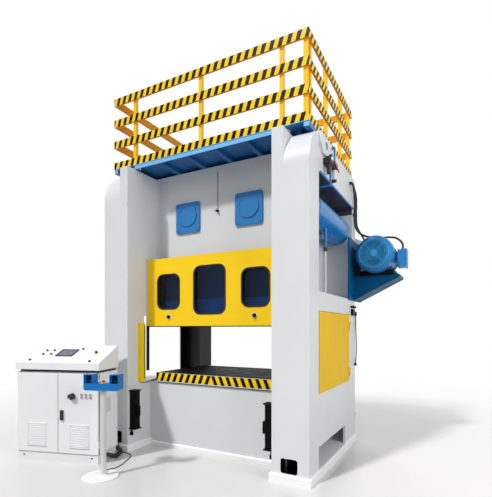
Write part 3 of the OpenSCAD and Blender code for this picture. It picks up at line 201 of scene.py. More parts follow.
def hollowOut(obj, band, depth, edge):  # makes a flat face that looks to -Y a raised ring
    pick(obj, "FACE", everything)
    bpy.ops.mesh.inset(thickness=band)
    bpy.ops.mesh.delete(type="FACE")
    bpy.ops.mesh.select_all(action="SELECT")
    bpy.ops.mesh.extrude_region_move(TRANSFORM_OT_translate={"value": (0, -depth, 0)})
    setDown()
    outward(obj)
    front = min(v.co.y for v in obj.data.vertices)
    pick(obj, "EDGE", lambda a, b: max(abs(a.y - front), abs(b.y - front)) < tolerance["front"])
    bpy.ops.mesh.bevel(offset=edge, segments=2, affect="EDGES")
    setDown()
    return obj


def roundFrame(centre, width, height, radius, band, depth, edge=0.002):  # round-cornered ring that faces -Y
    clearSelection()
    bpy.ops.mesh.primitive_plane_add(size=1, location=centre, rotation=axisTurn["Y"])
    obj = bpy.context.object
    obj.scale = (width, height, 1)
    bakePlace(obj)
    pick(obj, "VERT", everything)
    bpy.ops.mesh.bevel(offset=radius, segments=8, affect="VERTICES")
    setDown()
    return hollowOut(obj, band, depth, edge)


def ringAt(centre, outer, inner, depth, sides=32, edge=0.0008):  # flat ring that faces -Y
    clearSelection()
    bpy.ops.mesh.primitive_circle_add(vertices=sides, radius=outer, fill_type="NGON", location=centre,
                                      rotation=axisTurn["Y"])
    obj = bpy.context.object
    bakePlace(obj)
    return hollowOut(obj, outer - inner, depth, edge)


def turnedShape(profile, centre, sides=28):  # spun about the vertical through its centre
    mesh = bpy.data.meshes.new("profile")
    mesh.from_pydata([(r, 0, h) for r, h in profile], [(i, i + 1) for i in range(len(profile) - 1)], [])
    obj = bpy.data.objects.new("profile", mesh)
    bpy.context.scene.collection.objects.link(obj)
    pick(obj, "VERT", everything)
    bpy.ops.mesh.spin(steps=sides, angle=2 * math.pi, center=(0, 0, 0), axis=(0, 0, 1))
    setDown()
    outward(obj)
    obj.data.transform(Matrix.Translation(centre))
    return obj


def twinOf(obj, shift=(0, 0, 0)):  # the same shape again with its own mesh, moved
    twin = obj.copy()
    twin.data = obj.data.copy()
    bpy.context.scene.collection.objects.link(twin)
    twin.data.transform(Matrix.Translation(shift))
    return twin


def smoothRoute(points, steps):  # the curve that a cable follows, given in millimetres
    line = []
    spots = [Vector(p) / 1000 for p in points]
    for i in range(len(spots) - 1):
        a, b = spots[max(i - 1, 0)], spots[i]
        c, d = spots[i + 1], spots[min(i + 2, len(spots) - 1)]
        for k in range(steps):
            t = k / steps
            line.append(0.5 * (2 * b + (c - a) * t + (2 * a - 5 * b + 4 * c - d) * t * t
                               + (3 * b - a - 3 * c + d) * t ** 3))
    line.append(spots[-1])
    return line


def evenly(line, gap):  # the same line in even steps of about gap
    lengths = [(b - a).length for a, b in zip(line, line[1:])]
    count = max(2, round(sum(lengths) / gap))
    step = sum(lengths) / count
    spots, walked, i = [line[0]], 0.0, 0
    for k in range(1, count):
        while walked + lengths[i] < k * step:
            walked += lengths[i]
            i += 1
        spots.append(line[i].lerp(line[i + 1], (k * step - walked) / lengths[i]))
    spots.append(line[-1])
    return spots


def routeLength(line):
    return sum((b - a).length for a, b in zip(line, line[1:]))


def tubeAlong(name, line, radii, sides=12):  # closed tube through the line, one radius for each point
    count = len(line)
    heading = [(line[min(i + 1, count - 1)] - line[max(i - 1, 0)]).normalized() for i in range(count)]
    side = Vector((1, 0, 0)) if abs(heading[0].z) > 0.9 else Vector((0, 0, 1))
    rings = []
    for i in range(count):
        side = (side - side.dot(heading[i]) * heading[i]).normalized()
        across = heading[i].cross(side)
        for k in range(sides):
            a = 2 * math.pi * k / sides
            rings.append(line[i] + radii[i] * (math.cos(a) * side + math.sin(a) * across))
    faces = [(i * sides + k, i * sides + (k + 1) % sides, (i + 1) * sides + (k + 1) % sides, (i + 1) * sides + k)
             for i in range(count - 1) for k in range(sides)]
    faces += [tuple(reversed(range(sides))), tuple(range((count - 1) * sides, count * sides))]
    mesh = bpy.data.meshes.new(name)
    mesh.from_pydata([tuple(v) for v in rings], [], faces)
    obj = bpy.data.objects.new(name, mesh)
    bpy.context.scene.collection.objects.link(obj)
    return obj


def startMaterial(name):
    material = bpy.data.materials.new(name)
    material.use_nodes = True
    tree = material.node_tree
    tree.nodes.clear()
    result = tree.nodes.new("ShaderNodeOutputMaterial")
    shader = tree.nodes.new("ShaderNodeBsdfPrincipled")
    tree.links.new(shader.outputs[0], result.inputs[0])
    return material, tree, shader


def place3d(tree):
    return tree.nodes.new("ShaderNodeTexCoord").outputs["Object"]


def noise(tree, scale, detail=2.0, roughness=0.5):
    node = tree.nodes.new("ShaderNodeTexNoise")
    node.inputs["Scale"].default_value = scale
    node.inputs["Detail"].default_value = detail
    node.inputs["Roughness"].default_value = roughness
    tree.links.new(place3d(tree), node.inputs["Vector"])
    return node.outputs["Fac"]


def remap(tree, value, lowIn, highIn, lowOut, highOut):
    node = tree.nodes.new("ShaderNodeMapRange")
    for name, number in zip(("From Min", "From Max", "To Min", "To Max"), (lowIn, highIn, lowOut, highOut)):
        node.inputs[name].default_value = number
    tree.links.new(value, node.inputs["Value"])
    return node.outputs["Result"]


def calc(tree, kind, a, b=None):
    node = tree.nodes.new("ShaderNodeMath")
    node.operation = kind
    for socket, value in zip(node.inputs, (a, b)):
        if value is None:
            continue
        if isinstance(value, (int, float)):
            socket.default_value = value
        else:
            tree.links.new(value, socket)
    return node.outputs[0]


def blendColours(tree, share, first, second):
    node = tree.nodes.new("ShaderNodeMix")
    node.data_type = "RGBA"
    if isinstance(share, (int, float)):
        node.inputs["Factor"].default_value = share
    else:
        tree.links.new(share, node.inputs["Factor"])
    for socket, value in ((node.inputs[6], first), (node.inputs[7], second)):
        if isinstance(value, (tuple, list)):
            socket.default_value = value
        else:
            tree.links.new(value, socket)
    return node.outputs[2]


def axes(tree):
    node = tree.nodes.new("ShaderNodeSeparateXYZ")
    tree.links.new(place3d(tree), node.inputs[0])
    return node.outputs[0], node.outputs[1], node.outputs[2]


def addBump(tree, shader, height, strength, distance):
    node = tree.nodes.new("ShaderNodeBump")
    node.inputs["Strength"].default_value = strength
    node.inputs["Distance"].default_value = distance
    tree.links.new(height, node.inputs["Height"])
    tree.links.new(node.outputs[0], shader.inputs["Normal"])


def between(tree, value, low, high):  # 1 from low to high, 0 elsewhere
    return calc(tree, "MULTIPLY", calc(tree, "GREATER_THAN", value, low), calc(tree, "LESS_THAN", value, high))


def paintedZones(tree, base, zones):  # other tones in given boxes, with x taken to both sides
    x, y, z = axes(tree)
    away = calc(tree, "ABSOLUTE", x)
    for (xLow, xHigh), (yLow, yHigh), (zLow, zHigh), colour in zones:
        share = calc(tree, "MULTIPLY", between(tree, away, xLow, xHigh),
                     calc(tree, "MULTIPLY", between(tree, y, yLow, yHigh), between(tree, z, zLow, zHigh)))
        base = blendColours(tree, share, base, colour)
    return base


def shaded(colour, k):
    return (colour[0] * k, colour[1] * k, colour[2] * k, 1.0)


def unevenGloss(tree, shader, scale, detail, low, high):  # roughness that wanders from low to high
    tree.links.new(remap(tree, noise(tree, scale, detail), 0.3, 0.7, low, high), shader.inputs["Roughness"])


spray = {
    "patches": 2.3,  # scale of the slow changes of tone
    "dustTop": 0.45, "dustSpots": 14.0, "dustColour": tone(150, 146, 138),  # dust lies up to this height
    "glossPatches": 7.0,
    "peelScale": 170.0, "peelDepth": 0.0006,
    "coatRough": 0.2,
}


# sprayed paint, with orange peel, slow changes of tone and dust near the floor
def enamel(name, colour, rough=0.35, peel=0.12, coat=0.0, vary=0.05, dust=0.0, gloss=0.22, zones=()):
    material, tree, shader = startMaterial(name)
    mottled = blendColours(tree, remap(tree, noise(tree, spray["patches"], 4.0), 0.3, 0.7, 0.0, 1.0),
                           shaded(colour, 1.0 - vary), shaded(colour, 1.0 + vary * 0.4))
    if dust:
        low = calc(tree, "MULTIPLY", remap(tree, axes(tree)[2], 0.0, spray["dustTop"], 1.0, 0.0),
                   remap(tree, noise(tree, spray["dustSpots"], 5.0), 0.35, 0.75, 0.0, dust))
        mottled = blendColours(tree, low, mottled, spray["dustColour"])
    if zones:
        mottled = paintedZones(tree, mottled, zones)
    tree.links.new(mottled, shader.inputs["Base Color"])
    unevenGloss(tree, shader, spray["glossPatches"], 3.0, rough - 0.06, rough + 0.08)
    shader.inputs["Coat Weight"].default_value = coat
    shader.inputs["Coat Roughness"].default_value = spray["coatRough"]
    shader.inputs["Specular IOR Level"].default_value = gloss
    addBump(tree, shader, noise(tree, spray["peelScale"], 2.0), peel, spray["peelDepth"])
    return material


def metal(name, colour, rough=0.32, lines=0.15):  # turned or ground steel
    material, tree, shader = startMaterial(name)
    shader.inputs["Metallic"].default_value = 1.0
    tree.links.new(blendColours(tree, noise(tree, 30.0, 4.0), shaded(colour, 0.85), colour),
                   shader.inputs["Base Color"])
    unevenGloss(tree, shader, 60.0, 3.0, rough - 0.08, rough + 0.1)
    addBump(tree, shader, noise(tree, 400.0, 1.0), lines, 0.0003)
    return material


def plastic(name, colour, rough=0.45, grain=0.15, scale=600.0):  # moulded, with a fine grain
    material, tree, shader = startMaterial(name)
    tree.links.new(blendColours(tree, noise(tree, 25.0, 3.0), shaded(colour, 0.88), shaded(colour, 1.08)),
                   shader.inputs["Base Color"])
    unevenGloss(tree, shader, 40.0, 2.0, rough - 0.05, rough + 0.08)
    addBump(tree, shader, noise(tree, scale, 2.0), grain, 0.0003)
    return material


def castIron(name, colour, rough=0.6):  # dull, with a sandy skin
    material, tree, shader = startMaterial(name)
    shader.inputs["Metallic"].default_value = 0.6
    tree.links.new(blendColours(tree, noise(tree, 9.0, 6.0, 0.6), shaded(colour, 0.75), shaded(colour, 1.15)),
                   shader.inputs["Base Color"])
    unevenGloss(tree, shader, 20.0, 4.0, rough - 0.1, rough + 0.1)
    addBump(tree, shader, noise(tree, 120.0, 5.0, 0.7), 0.45, 0.0012)
    return material


stripes = {
    "yellow": tone(250, 206, 14),
    "black": tone(5, 5, 5),
    "inside": tone(236, 156, 22),  # plain face of the rails towards the platform, orange as painted shade
    "pitch": 0.1072, "sidePitch": 0.102,  # one yellow and one black stripe together
    "frontSlant": 0.31, "sideSlant": 0.69, "bandSlant": 0.41,  # sideways run for each unit of height
    "frontStart": 1.4013, "sideStart": 0.831, "startHeight": 4.859,  # where a stripe of the rails begins
    "bandHeight": 0.97,
    "soft": 0.0008,  # half the width of a stripe's blurred edge
    "faceDepth": 0.0012,  # how near to the outer plane a face counts as the outer one
    "railWear": tone(120, 100, 40), "bandWear": tone(110, 95, 50),
}


def stripeShare(tree, along, pitch):  # 1 on the yellow stripes, with slightly soft edges
    wave = calc(tree, "PINGPONG", calc(tree, "ADD", along, 200 * pitch), pitch / 2)  # kept above zero
    return remap(tree, wave, pitch / 4 + stripes["soft"], pitch / 4 - stripes["soft"], 0.0, 1.0)


def slantedLine(tree, across, start, high, slant):
    return calc(tree, "SUBTRACT", calc(tree, "ADD", across, start), calc(tree, "MULTIPLY", high, slant))


def railPaint():  # stripes on the outer faces, plain inside in an orange that is painted shade
    material, tree, shader = startMaterial("railStripes")
    x, y, z = axes(tree)
    high = calc(tree, "SUBTRACT", z, stripes["startHeight"])
    frontLine = slantedLine(tree, x, stripes["frontStart"], high, stripes["frontSlant"])
    sideLine = slantedLine(tree, y, stripes["sideStart"], high, stripes["sideSlant"])
    low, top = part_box("hazard_rails")
    onFront = calc(tree, "LESS_THAN", y, low.y + stripes["faceDepth"])
    onRear = calc(tree, "GREATER_THAN", y, top.y - stripes["faceDepth"])
    onSide = calc(tree, "GREATER_THAN", calc(tree, "ABSOLUTE", x), top.x - stripes["faceDepth"])
    frontal = calc(tree, "MAXIMUM", onFront, onRear)
    outer = calc(tree, "MAXIMUM", frontal, onSide)
    share = calc(tree, "ADD", calc(tree, "MULTIPLY", frontal, stripeShare(tree, frontLine, stripes["pitch"])),
                 calc(tree, "MULTIPLY", calc(tree, "SUBTRACT", 1.0, frontal),
                      stripeShare(tree, sideLine, stripes["sidePitch"])))
    painted = blendColours(tree, share, stripes["black"], stripes["yellow"])
    worn = blendColours(tree, remap(tree, noise(tree, 40.0, 5.0, 0.6), 0.62, 0.72, 0.0, 0.35), painted,
                        stripes["railWear"])
    tree.links.new(blendColours(tree, outer, stripes["inside"], worn), shader.inputs["Base Color"])
    shader.inputs["Specular IOR Level"].default_value = 0.12
    unevenGloss(tree, shader, 20.0, 3.0, 0.3, 0.45)
    addBump(tree, shader, noise(tree, spray["peelScale"], 2.0), 0.1, spray["peelDepth"])
    return material


def bandPaint():  # chevrons that meet in the middle
    material, tree, shader = startMaterial("chevronStripes")
    x, y, z = axes(tree)
    rise = calc(tree, "MULTIPLY", calc(tree, "SUBTRACT", z, stripes["bandHeight"]), stripes["bandSlant"])
    share = stripeShare(tree, calc(tree, "ADD", calc(tree, "ABSOLUTE", x), rise), stripes["pitch"])
    painted = blendColours(tree, share, stripes["black"], stripes["yellow"])
    worn = blendColours(tree, remap(tree, noise(tree, 55.0, 5.0, 0.6), 0.62, 0.74, 0.0, 0.3), painted,
                        stripes["bandWear"])
    tree.links.new(worn, shader.inputs["Base Color"])
    shader.inputs["Roughness"].default_value = 0.4
    shader.inputs["Specular IOR Level"].default_value = 0.12
    addBump(tree, shader, noise(tree, 150.0, 2.0), 0.12, spray["peelDepth"])
    return material


deck = {
    "colour": tone(34, 106, 172),
    "litFrontColour": tone(112, 182, 236), "frontDepth": 0.008,  # paler blue on the front edge, painted light on its lit face
    "treadScale": 28.0, "treadTurn": 45.0, "treadHeight": 0.002,
    "topDepth": 0.001,
}


def deckPaint():  # blue platform with tread lozenges on its top
    material, tree, shader = startMaterial("deckBlue")
    x, y, z = axes(tree)
    atFront = calc(tree, "LESS_THAN", y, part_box("platform_deck")[0].y + deck["frontDepth"])
    base = blendColours(tree, remap(tree, noise(tree, 2.0, 4.0), 0.3, 0.7, 0.0, 1.0),
                        shaded(deck["colour"], 0.92), shaded(deck["colour"], 1.06))
    tree.links.new(blendColours(tree, atFront, base, deck["litFrontColour"]), shader.inputs["Base Color"])
    shader.inputs["Roughness"].default_value = 0.42
    cells = tree.nodes.new("ShaderNodeTexVoronoi")
    cells.inputs["Scale"].default_value = deck["treadScale"]
    cells.inputs["Randomness"].default_value = 0.0
    turned = tree.nodes.new("ShaderNodeMapping")
    turned.inputs["Rotation"].default_value = (0, 0, math.radians(deck["treadTurn"]))
    tree.links.new(place3d(tree), turned.inputs["Vector"])
    tree.links.new(turned.outputs[0], cells.inputs["Vector"])
    raised = remap(tree, cells.outputs["Distance"], 0.25, 0.4, 1.0, 0.0)
    above = calc(tree, "GREATER_THAN", z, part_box("platform_deck")[1].z - deck["topDepth"])
    addBump(tree, shader, calc(tree, "MULTIPLY", raised, above), 0.6, deck["treadHeight"])
    return material


pane = {"tint": (0.30, 0.52, 0.68, 1.0), "bend": 1.2}


def clearPane():  # tinted sheet of the guard's windows
    material, tree, shader = startMaterial("tintedPane")
    shader.inputs["Base Color"].default_value = pane["tint"]
    shader.inputs["Transmission Weight"].default_value = 1.0
    shader.inputs["IOR"].default_value = pane["bend"]
    unevenGloss(tree, shader, 6.0, 2.0, 0.02, 0.06)
    return material


# boxes of |x|, y and z in which the frame has another tone: painted shade inside the columns and the recess,
# painted light on the feet
frameZones = [
    ((1.05, 1.0605), (0.645, 1.03), (1.0, 1.86), tone(14, 13, 13)),  # painted shade on the inner face of a column's rear wall
    ((1.05, 1.0605), (0.90, 1.03), (1.0, 1.86), tone(6, 6, 5)),  # deeper painted shade on the same face, further back
    ((1.0605, 1.475), (0.645, 0.845), (0.925, 1.855), tone(20, 20, 20)),  # painted shade on the rear wall, seen through the window
    ((1.110, 1.250), (0.835, 0.845), (0.96, 1.80), tone(34, 35, 36)),  # paler strip on it, darkened as painted shade
    ((1.065, 1.488), (-0.69, 1.0), (3.30, 3.386), tone(66, 70, 80)),  # painted shade on the roof of the recess
    ((0.0, 1.6), (-1.1, 1.1), (-0.01, 0.056), tone(244, 245, 246)),  # painted light on the foot slabs
    ((1.03, 1.6), (-1.1, 1.1), (0.05, 0.0915), tone(240, 241, 242)),  # painted light on the lowest part of the columns
    ((1.062, 1.487), (-1.017, -0.705), (0.02, 0.6), tone(3, 3, 3)),  # painted shade inside the front box
]
railZone = ((0.9, 1.2), (-0.7, -0.5), (1.0, 1.69), tone(30, 30, 31))  # lower run of the guard's rails
tankZones = [  # black fittings on the tank
    ((1.2, 1.33), (-0.30, -0.17), (2.74, 2.819), tone(10, 10, 11)),
    ((1.2, 1.33), (-0.16, -0.04), (2.74, 2.872), tone(10, 10, 11)),
]
slideLitZone = ((-1.0, 1.0), (-0.62, -0.3), (1.0, 2.05), tone(26, 84, 140))  # painted light on the lower part of the slide's front
everywhere = (-9.0, 9.0)  # wider than the whole press
deskShadeZones = [  # painted shade in the gaps below the desk's top and above its plinth
    (everywhere, everywhere, (1.1105, 1.1415), tone(70, 70, 71)),
    (everywhere, everywhere, (0.1105, 0.1165), tone(60, 60, 62)),
]
standShadeZone = ((0.5, 0.8), (-2.0, -1.7), (0.035, 0.97), tone(205, 207, 206))  # painted shade on the post of the two-hand stand
sensorZone = ((0.0, 0.05), (-0.6, -0.3), (3.236, 3.9), tone(150, 152, 156))  # pipe above the crown's sensor
framePaint = enamel("framePaint", tone(217, 219, 221), 0.36, 0.10, vary=0.03, dust=0.06, zones=frameZones)
railGrey = enamel("railGrey", tone(196, 198, 202), 0.4, 0.08, zones=[railZone])
guardPaint = enamel("guardPaint", tone(252, 208, 8), 0.32, 0.08, coat=0.2, vary=0.04)
# side door yellow, darker than the guard's: painted shade on the side face
shadedDoorPaint = enamel("shadedDoorPaint", tone(235, 190, 32), 0.4, 0.08, vary=0.05, gloss=0.03)
postPaint = enamel("postPaint", tone(252, 200, 40), 0.36, 0.08, vary=0.06, gloss=0.1)
curtainPaint = enamel("curtainPaint", tone(255, 216, 24), 0.35, 0.05)
bluePaint = enamel("bluePaint", tone(50, 128, 192), 0.33, 0.10, coat=0.2, vary=0.07)
tankPaint = enamel("tankPaint", tone(26, 120, 190), 0.28, 0.06, coat=0.2, vary=0.05, gloss=0.25, zones=tankZones)
coverPaint = enamel("coverPaint", tone(44, 124, 190), 0.33, 0.10, coat=0.1, vary=0.05)
motorPaint = enamel("motorPaint", tone(32, 122, 186), 0.34, 0.14, coat=0.1, vary=0.08)
bracketPaint = enamel("bracketPaint", tone(8, 84, 130), 0.42, 0.12, vary=0.1, gloss=0.05)
slidePaint = enamel("slidePaint", tone(20, 42, 78), 0.42, 0.12, vary=0.12, zones=[slideLitZone])
deskPaint = enamel("deskPaint", tone(236, 237, 238), 0.42, 0.2, vary=0.015, zones=deskShadeZones)
standWhite = enamel("standWhite", tone(240, 241, 242), 0.38, 0.1, vary=0.02, zones=[standShadeZone])
standPaint = enamel("standPaint", tone(12, 112, 190), 0.32, 0.08, coat=0.15, vary=0.06, gloss=0.15)
blackPaint = enamel("blackPaint", tone(4, 4, 5), 0.42, 0.12, vary=0.15, gloss=0.08)
fittingBlack = enamel("fittingBlack", tone(14, 14, 15), 0.45, 0.1, vary=0.1, gloss=0.15, zones=[sensorZone])
# fan grille blue, lighter than the motor's: painted light on the grille
litGrillePaint = enamel("litGrillePaint", tone(66, 166, 224), 0.34, 0.1, vary=0.06)
rotorPaint = enamel("rotorPaint", tone(6, 48, 84), 0.45, 0.1, vary=0.1, gloss=0.08)
bolsterPaint = enamel("bolsterPaint", tone(14, 13, 13), 0.65, 0.15, vary=0.2, gloss=0.01)
seamPaint = enamel("seamPaint", tone(206, 209, 213), 0.38, 0.1, vary=0.03)
blackPlastic = plastic("blackPlastic", tone(12, 12, 13), 0.42)
whitePlastic = plastic("whitePlastic", tone(226, 228, 230), 0.3, 0.05)
yellowPlastic = plastic("yellowPlastic", tone(240, 200, 20), 0.35, 0.05)
redPlastic = plastic("redPlastic", tone(196, 24, 26), 0.28, 0.05)
greyPlastic = plastic("greyPlastic", tone(150, 152, 156), 0.45)
rubber = plastic("rubber", tone(12, 12, 12), 0.62, 0.3, 300.0)
cableSheath = plastic("cableSheath", tone(12, 12, 14), 0.5, 0.25, 400.0)
navySheath = plastic("navySheath", tone(14, 20, 44), 0.42, 0.25, 400.0)
steel = metal("groundSteel", tone(190, 192, 196))
iron = castIron("castIron", tone(92, 95, 100))
bronze = metal("bronze", tone(176, 134, 72), 0.4)
screenGlass = plastic("screenGlass", tone(88, 96, 118), 0.25, 0.02)
railStripes = railPaint()
chevronStripes = bandPaint()
deckBlue = deckPaint()
tintedPane = clearPane()
print("materials made")

finishes = {
    "bed": framePaint, "column_left": framePaint, "column_right": framePaint, "crown": framePaint,
    "tie_rods": steel, "bolster": bolsterPaint, "slide_gibs": bronze, "gear_covers": coverPaint,
    "gear_pins": steel, "pinion_bearings": iron, "motor_bracket": bracketPaint, "motor_body": motorPaint,
    "motor_fan_cover": motorPaint, "motor_terminal_box": motorPaint, "v_belts": rubber,
    "belt_guard": framePaint, "platform_deck": deckBlue, "railing_posts": postPaint,
    "hazard_rails": railStripes, "lifting_lugs": framePaint, "light_curtains": curtainPaint,
    "die_arm_brackets": blackPaint, "air_tank": tankPaint, "frl_unit": blackPlastic, "air_pipes": bluePaint,
    "motor_conduit": cableSheath, "rear_hose": cableSheath, "electric_fittings": fittingBlack,
    "slide": slidePaint, "conrod_left": iron, "conrod_right": iron, "eccentric_gear_left": iron,
    "eccentric_gear_right": iron, "pinion_shaft": steel, "flywheel": iron, "motor_rotor": rotorPaint,
    "motor_pulley": iron, "front_guard": guardPaint, "guard_windows": tintedPane,
    "guard_lock_left": blackPlastic, "guard_lock_right": blackPlastic, "guard_rails": railGrey,
    "side_door": shadedDoorPaint, "side_door_hinges": steel, "air_valve_lever": redPlastic,
    "desk_cabinet": deskPaint, "desk_top": deskPaint, "desk_door_left": deskPaint,
    "desk_door_right": deskPaint, "desk_door_handle": blackPlastic, "main_switch": blackPlastic,
    "touch_screen": screenGlass, "desk_estop": blackPlastic, "stand_post": standWhite,
    "stand_box": standPaint, "palm_button_left": blackPlastic, "palm_button_right": blackPlastic,
    "stand_estop": redPlastic, "stand_cable": cableSheath, "desk_loom": cableSheath,
}
nodeSharp = 28  # degrees past which an edge of the frame's own parts stays sharp
for name, material in finishes.items():
    nodes[name].data.materials.clear()
    nodes[name].data.materials.append(material)
    selectOnly(nodes[name])
    bpy.ops.object.shade_smooth_by_angle(angle=math.radians(nodeSharp))
print("frame dressed")

cables = {
    "curveSteps": 10,  # points on the curve from one given point to the next
    "groove": 0.86, "cuff": 0.93,  # share of the radius between the ribs and at a hose's ends
    "conduitGap": 0.0045,  # from a rib to its groove
    "standRadius": 0.005,
    "standRoute": [
        (-657, -1784, 60), (-676, -1764, 60), (-690, -1726, 44), (-699, -1688, 27), (-706, -1655, 24),
        (-713, -1622, 20), (-719, -1592, 9), (-723, -1560, 5.5), (-725, -1520, 5.5), (-729, -1476, 5.5),
        (-746, -1408, 5.5), (-783, -1325, 5.5), (-832, -1220, 5.5), (-880, -1140, 5.5), (-950, -1094, 5.5),
        (-1030, -1078, 5.5), (-1100, -1072, 5.5), (-1146, -1068, 20), (-1176, -1062, 60), (-1192, -1050, 100),
        (-1198, -1026, 120), (-1198, -1000, 122), (-1198, -975, 122)],
    "loomRadius": 0.026,
    "loomRoute": [
        (-1023, -1426, 82), (-998, -1418.4, 82), (-974, -1400, 76), (-964, -1366, 58), (-976, -1320, 40),
        (-1000, -1268, 31), (-1026, -1212, 29), (-1054, -1160, 33), (-1086, -1124, 41), (-1126, -1109, 52),
        (-1166, -1105, 68), (-1204, -1095, 90), (-1236, -1072, 114), (-1254, -1040, 132), (-1258, -1008, 140),
        (-1258, -975, 140)],
    "conduitRadius": 0.015,
    "conduitRoute": [
        (1502, 700, 3712), (1520, 700, 3712), (1532, 724, 3688), (1532, 760, 3630), (1531, 804, 3555),
        (1526, 850, 3460), (1518, 880, 3340), (1516, 895, 3225), (1530, 905, 3120), (1572, 920, 3050),
        (1635, 935, 3004), (1715, 948, 2976), (1800, 950, 2958), (1900, 950, 2946), (1985, 950, 2944),
        (2070, 950, 2926), (2132, 950, 2880), (2166, 950, 2826), (2166, 950, 2776)],
    "hoseRadius": 0.008,
    "hoseRoute": [
        (1508, 990, 1838), (1508, 990, 1800), (1508, 992, 1700), (1510, 996, 1600), (1513, 1000, 1500),
        (1515, 1002, 1400), (1514, 1000, 1300), (1511, 996, 1220), (1508, 990, 1168), (1508, 990, 1138)],
}


def routeLine(points, gap):  # a smooth line in even steps, from points in millimetres
    return evenly(smoothRoute(points, cables["curveSteps"]), gap)


def smoothTube(name, line, radius, sides):
    return tubeAlong(name, line, [radius] * len(line), sides)


def ribbedTube(name, line, radius, sides):  # a corrugated hose with smooth ends and a rib at every second point
    last = len(line) - 1
    radii = [radius * (1.0 if i % 2 else cables["groove"]) if 3 < i < last - 3 else radius * cables["cuff"]
             for i in range(last + 1)]
    return tubeAlong(name, line, radii, sides)


standLine = routeLine(cables["standRoute"], 0.006)
standCord = smoothTube("standCord", standLine, cables["standRadius"], 10)
loomLine = routeLine(cables["loomRoute"], 0.006)
loomHose = ribbedTube("loomHose", loomLine, cables["loomRadius"], 20)
conduitHose = ribbedTube("conduitHose", routeLine(cables["conduitRoute"], cables["conduitGap"]),
                         cables["conduitRadius"], 14)
rearHose = smoothTube("rearHose", routeLine(cables["hoseRoute"], 0.008), cables["hoseRadius"], 12)
for cable, node in ((standCord, "stand_cable"), (loomHose, "desk_loom"), (conduitHose, "motor_conduit"),
                    (rearHose, "rear_hose")):
    settle([cable], cable.name, "frame", cableSheath, sharp=60)
    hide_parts(node)
print("cables laid", round(routeLength(standLine), 3), round(routeLength(loomLine), 3))

band = {"half": 0.92, "low": 0.915, "high": 1.03, "back": -0.6, "thick": 0.0045,
        "trim": 0.006, "trimLow": 0.903, "trimHigh": 1.0348, "joint": 0.0003}
bandPlate = blockAt((-band["half"], band["back"] - band["thick"], band["low"]),
                    (band["half"], band["back"], band["high"]), 0.001)
settle([bandPlate], "bolsterBand", "frame", chevronStripes)
trimHalf = band["half"] + band["trim"]
trims = [blockAt((-trimHalf, band["back"] - band["trim"], low), (trimHalf, band["back"], high), 0.001)
         for low, high in ((band["high"] + band["joint"], band["trimHigh"]),
                           (band["trimLow"], band["low"] - band["joint"]))]
settle(trims, "bolsterTrim", "frame", railGrey)
print("bolster band on")

seals = {
    "windows": [((0.0, 2.158), 0.482, 0.625), ((-0.672, 2.158), 0.376, 0.470), ((0.672, 2.158), 0.376, 0.470)],
    "corner": 0.095, "lip": 0.013, "inside": 0.006, "proud": 0.004,
    "front": -0.645, "pane": -0.6152,  # y of the guard's front face and of its panes
    "slack": 0.0004,
}
sealParts = []
for (x, z), wide, high in seals["windows"]:
    sealParts.append(roundFrame((x, seals["front"] - 0.0002, z), wide + 2 * seals["lip"], high + 2 * seals["lip"],
                                seals["corner"] + seals["lip"], seals["lip"] + seals["inside"],
                                seals["proud"], 0.0012))
    sealParts.append(roundFrame((x, seals["pane"] - seals["slack"], z), wide - 0.001, high - 0.001,
                                seals["corner"] - 0.0005, seals["inside"] - 0.0005,
                                seals["pane"] - seals["slack"] - seals["front"], 0.0005))
settle(sealParts, "windowSeals", "guard", rubber)
guardTrim = {
    "stripLow": (-1.040, -0.641, 1.674), "stripHigh": (1.040, -0.621, 1.6868),
    "lock": (-0.662, -0.6452, 1.811), "lockApart": 1.324,
    "lockOuter": 0.036, "lockInner": 0.0275, "lockProud": 0.003,
}
guardStrip = blockAt(guardTrim["stripLow"], guardTrim["stripHigh"])
settle([guardStrip], "guardStrip", "guard", rubber)
lockRing = ringAt(guardTrim["lock"], guardTrim["lockOuter"], guardTrim["lockInner"], guardTrim["lockProud"])
settle([lockRing, twinOf(lockRing, (guardTrim["lockApart"], 0, 0))], "lockPlates", "guard", whitePlastic)
print("guard trimmed")

crownStrip = {"x": (0.846, 0.995), "y": (-0.443, -0.44), "z": (2.63, 3.78)}
settle(bothSides(crownStrip["x"], crownStrip["y"], crownStrip["z"], 0.0008), "crownStrips", "frame", seamPaint)
print("crown trimmed")

curtain = {
    "x": (1.0185, 1.0305), "y": (-0.7395, -0.7215), "z": (0.952, 1.695),
    "leadRadius": 0.0045,
    "leadRoute": [(-1036, -772, 925), (-1036, -768, 906), (-1026, -740, 900), (-1008, -700, 900), (-985, -655, 912),
                  (-955, -615, 935), (-905, -598, 955)],
}
settle(bothSides(curtain["x"], curtain["y"], curtain["z"]), "curtainLenses", "frame", blackPlastic)
curtainLead = smoothTube("curtainLead", routeLine(curtain["leadRoute"], 0.006), curtain["leadRadius"], 8)
settle([curtainLead], "curtainLead", "frame", cableSheath, sharp=60)
print("light curtains fitted")

